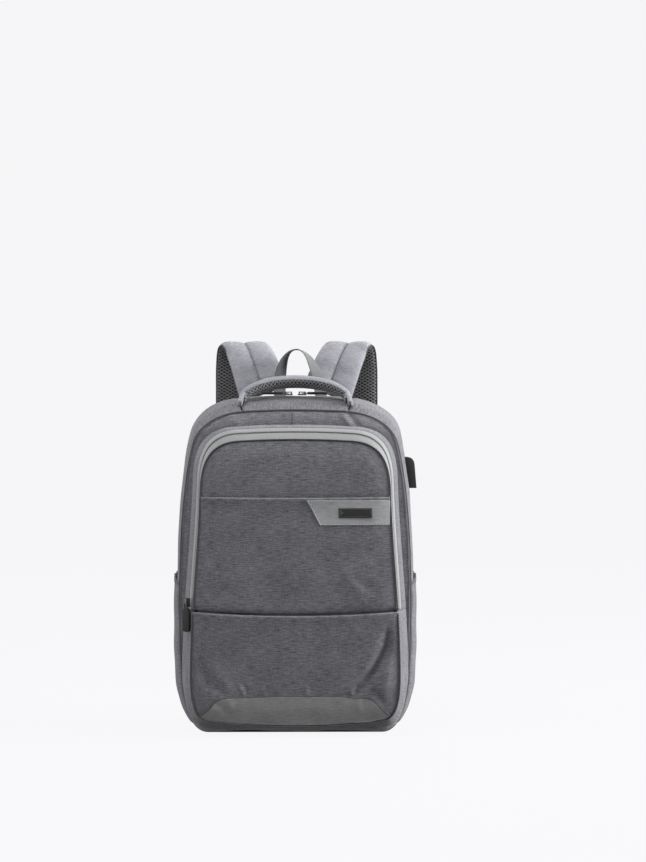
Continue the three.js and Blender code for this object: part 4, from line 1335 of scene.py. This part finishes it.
def pad(name, channels):
    """A filled pad of air mesh with sewn channels, each given as (axis, place)."""
    low, high = (np.array(corner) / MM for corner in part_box(name))
    low_in, high_in = low + [1.5, 0.4, 1.5], high - [1.5, 2.5, 1.5]
    centre, size = (low_in + high_in) / 2, high_in - low_in
    piece = linked(name, bpy.data.meshes.new(name))
    with edited(piece.data) as work:
        bmesh.ops.create_cube(work, size=1)
        for v in work.verts:
            v.co = Vector((np.array(v.co) * size + centre) * MM)
        upright = []
        for edge in work.edges:
            run = edge.verts[0].co - edge.verts[1].co
            if abs(run.x) < 1e-6 and abs(run.z) < 1e-6:
                upright.append(edge)
        bmesh.ops.bevel(work, geom=upright, offset=9 * MM, segments=5, profile=0.5, affect="EDGES")
    simulated(piece, low, high, 6, 4.5)
    piece.data.materials.clear()
    piece.data.materials.append(PAD_MESH)
    # The sewn channels come after the swelling.
    co = points_of(piece) / MM
    outer = clamped((co[:, 1] - low[1] - 5) / 5)
    for axis, at in channels:
        d = co[:, axis] - at
        co[:, 1] -= outer * 4.5 * np.exp(-((d / 3.2) ** 2))
    piece.data.vertices.foreach_set("co", (co * MM).ravel())
    smoothed(piece.data)
    place(piece, BACK, "air_mesh", fill=0.7)


def back():
    ring = whole(BODY_HALF[:, :2]) * [154.0 / 159.5, 441.5 / 450] + [0, 3]
    flat = inside(ring, None, None, 80, 90)
    far = from_outline(flat, ring)
    grid = stood_at(flat, 64.4 + 1.9 * (1 - np.exp(-far / 4)) + 0.25 * ripple(flat[..., 0], flat[..., 1], 50, 91))
    place(cloth("back_board", grid, LINING, 4.2), BACK, "lining")
    x, z = 0, 2
    for side, sign in SIDES:
        pad(f"back_pad_{side}", [(z, 200), (z, 262), (z, 324), (x, 60 * sign)])
    pad("lumbar_pad", [(x, -50), (x, 0), (x, 50)])


back()


# ---- Inside ----


def sleeve():
    place(softened("laptop_sleeve", LINING_SOFT, 1.4), BACK, "lining")
    place(softened("sleeve_strap", DARK_SOFT, 0.6), BACK, "dark_trim")
    rim = np.array([(-118.2, 59, 285.2), (-118.2, 33.8, 285.2), (118.2, 33.8, 285.2), (118.2, 59, 285.2)])
    path = np.vstack([np.linspace(a, b, 40) for a, b in zip(rim[:-1], rim[1:])])
    keep = np.concatenate([[True], np.linalg.norm(np.diff(path, axis=0), axis=1) > 1e-6])
    cord("sleeve_rim", path[keep], 2.0, DARK_CORD, BACK)


def hinge_cloths():
    """Cloth at the seams where the pocket's flap and the back fold away from the tub."""
    v, u = np.meshgrid(np.linspace(150, 180, 16), np.linspace(-128, 128, 60), indexing="ij")
    flat = np.stack([u, v], axis=2)
    strip = cloth("flap_hinge_cloth", stood_at(flat, face_depth(flat) + 2.9)[::-1], LINING, 0.7, smooth=0)
    place(strip, FLAP, "lining", bend=(TUB, (0, -0.083, 0.158), (0, -0.083, 0.171)))
    half = np.linspace(0, share_at_height(body_ring(58), 44), 40)
    shares = np.concatenate([1 - half[:0:-1], half])
    grid = []
    for y in np.linspace(54, 64.5, 12):
        x, z = along(body_ring(min(y, 60), -2.9), shares).T
        grid.append(np.stack([x, np.full(len(x), y), z], axis=1))
    strip = cloth("back_hinge_cloth", np.array(grid), LINING, 0.7, smooth=0)
    place(strip, BACK, "lining", bend=(TUB, (0, 0.0565, 0.01), (0, 0.0635, 0.01)))


sleeve()
hinge_cloths()


# ---- Studio ----


def backdrop():
    """A shallow dish of paper: flat under the bag, and turned up far away on all sides."""
    profile = [(0, 0), (0.5, 0), (1.2, 0), (2.4, 0), (3.6, 0), (4.8, 0.02)]
    profile += [(5.9, 0.4), (6.7, 1.4), (7.0, 3.0), (7.0, 9.0)]
    turns = np.linspace(0, 2 * math.pi, 48, endpoint=False)
    points = [(r * math.cos(a), r * math.sin(a), z) for a in turns for r, z in profile]
    faces = [f[::-1] for f in grid_faces(48, len(profile), True)]
    paper = mesh_of("backdrop", np.array(points) / MM, faces)
    mend(paper)
    finished(paper, ("SUBSURF", {"levels": 2, "render_levels": 2}))
    look = Look("paper", base_color=(0.015, 0.015, 0.015, 1), roughness=1.0, specular_ior_level=0.0)
    look.shader.inputs["Emission Color"].default_value = (0.905, 0.9, 0.915, 1)
    look.shader.inputs["Emission Strength"].default_value = 1.01
    paper.data.materials.append(look.material)
    # It shows bright, but leaves the lamps to light the bag, and lets the low one through.
    paper.visible_diffuse = paper.visible_shadow = False


def aimed(name, data, place, aim):
    made = linked(name, data)
    made.location = place
    made.rotation_euler = (Vector(aim) - Vector(place)).to_track_quat("-Z", "Y").to_euler()
    return made


def lamps():
    for name, place, aim, size, power in (
        ("key", (-0.55, -0.9, 1.75), (0, 0, 0.4), 0.7, 18),
        ("top", (0.1, -0.5, 2.3), (0, 0, 0.4), 1.0, 23),
        ("bounce", (0, -0.7, -0.7), (0, 0, 0), 1.0, 0.6),
        ("fill_left", (-2.6, -0.5, 0.9), (0, 0, 0.3), 1.6, 58),
        ("fill_right", (2.6, -0.2, 1.0), (0, 0, 0.3), 1.6, 215),
        ("rim", (0.0, 1.6, 2.2), (0, 0, 0.4), 1.6, 16),
    ):
        data = bpy.data.lights.new(name, "AREA")
        data.shape, data.size, data.energy = "DISK", size, power
        aimed(name, data, place, aim)


def studio():
    backdrop()
    lamps()
    world = bpy.data.worlds.new("studio")
    world.use_nodes = True
    world.node_tree.nodes["Background"].inputs["Color"].default_value = (0.93, 0.95, 1.0, 1)
    world.node_tree.nodes["Background"].inputs["Strength"].default_value = 0.25
    scene.world = world
    scene.camera = aimed("camera", bpy.data.cameras.new("camera"), (0, -2.75, 0.412), (0.0374, 0, 0.402))
    scene.camera.data.lens = 85
    scene.view_settings.view_transform = "Standard"


studio()
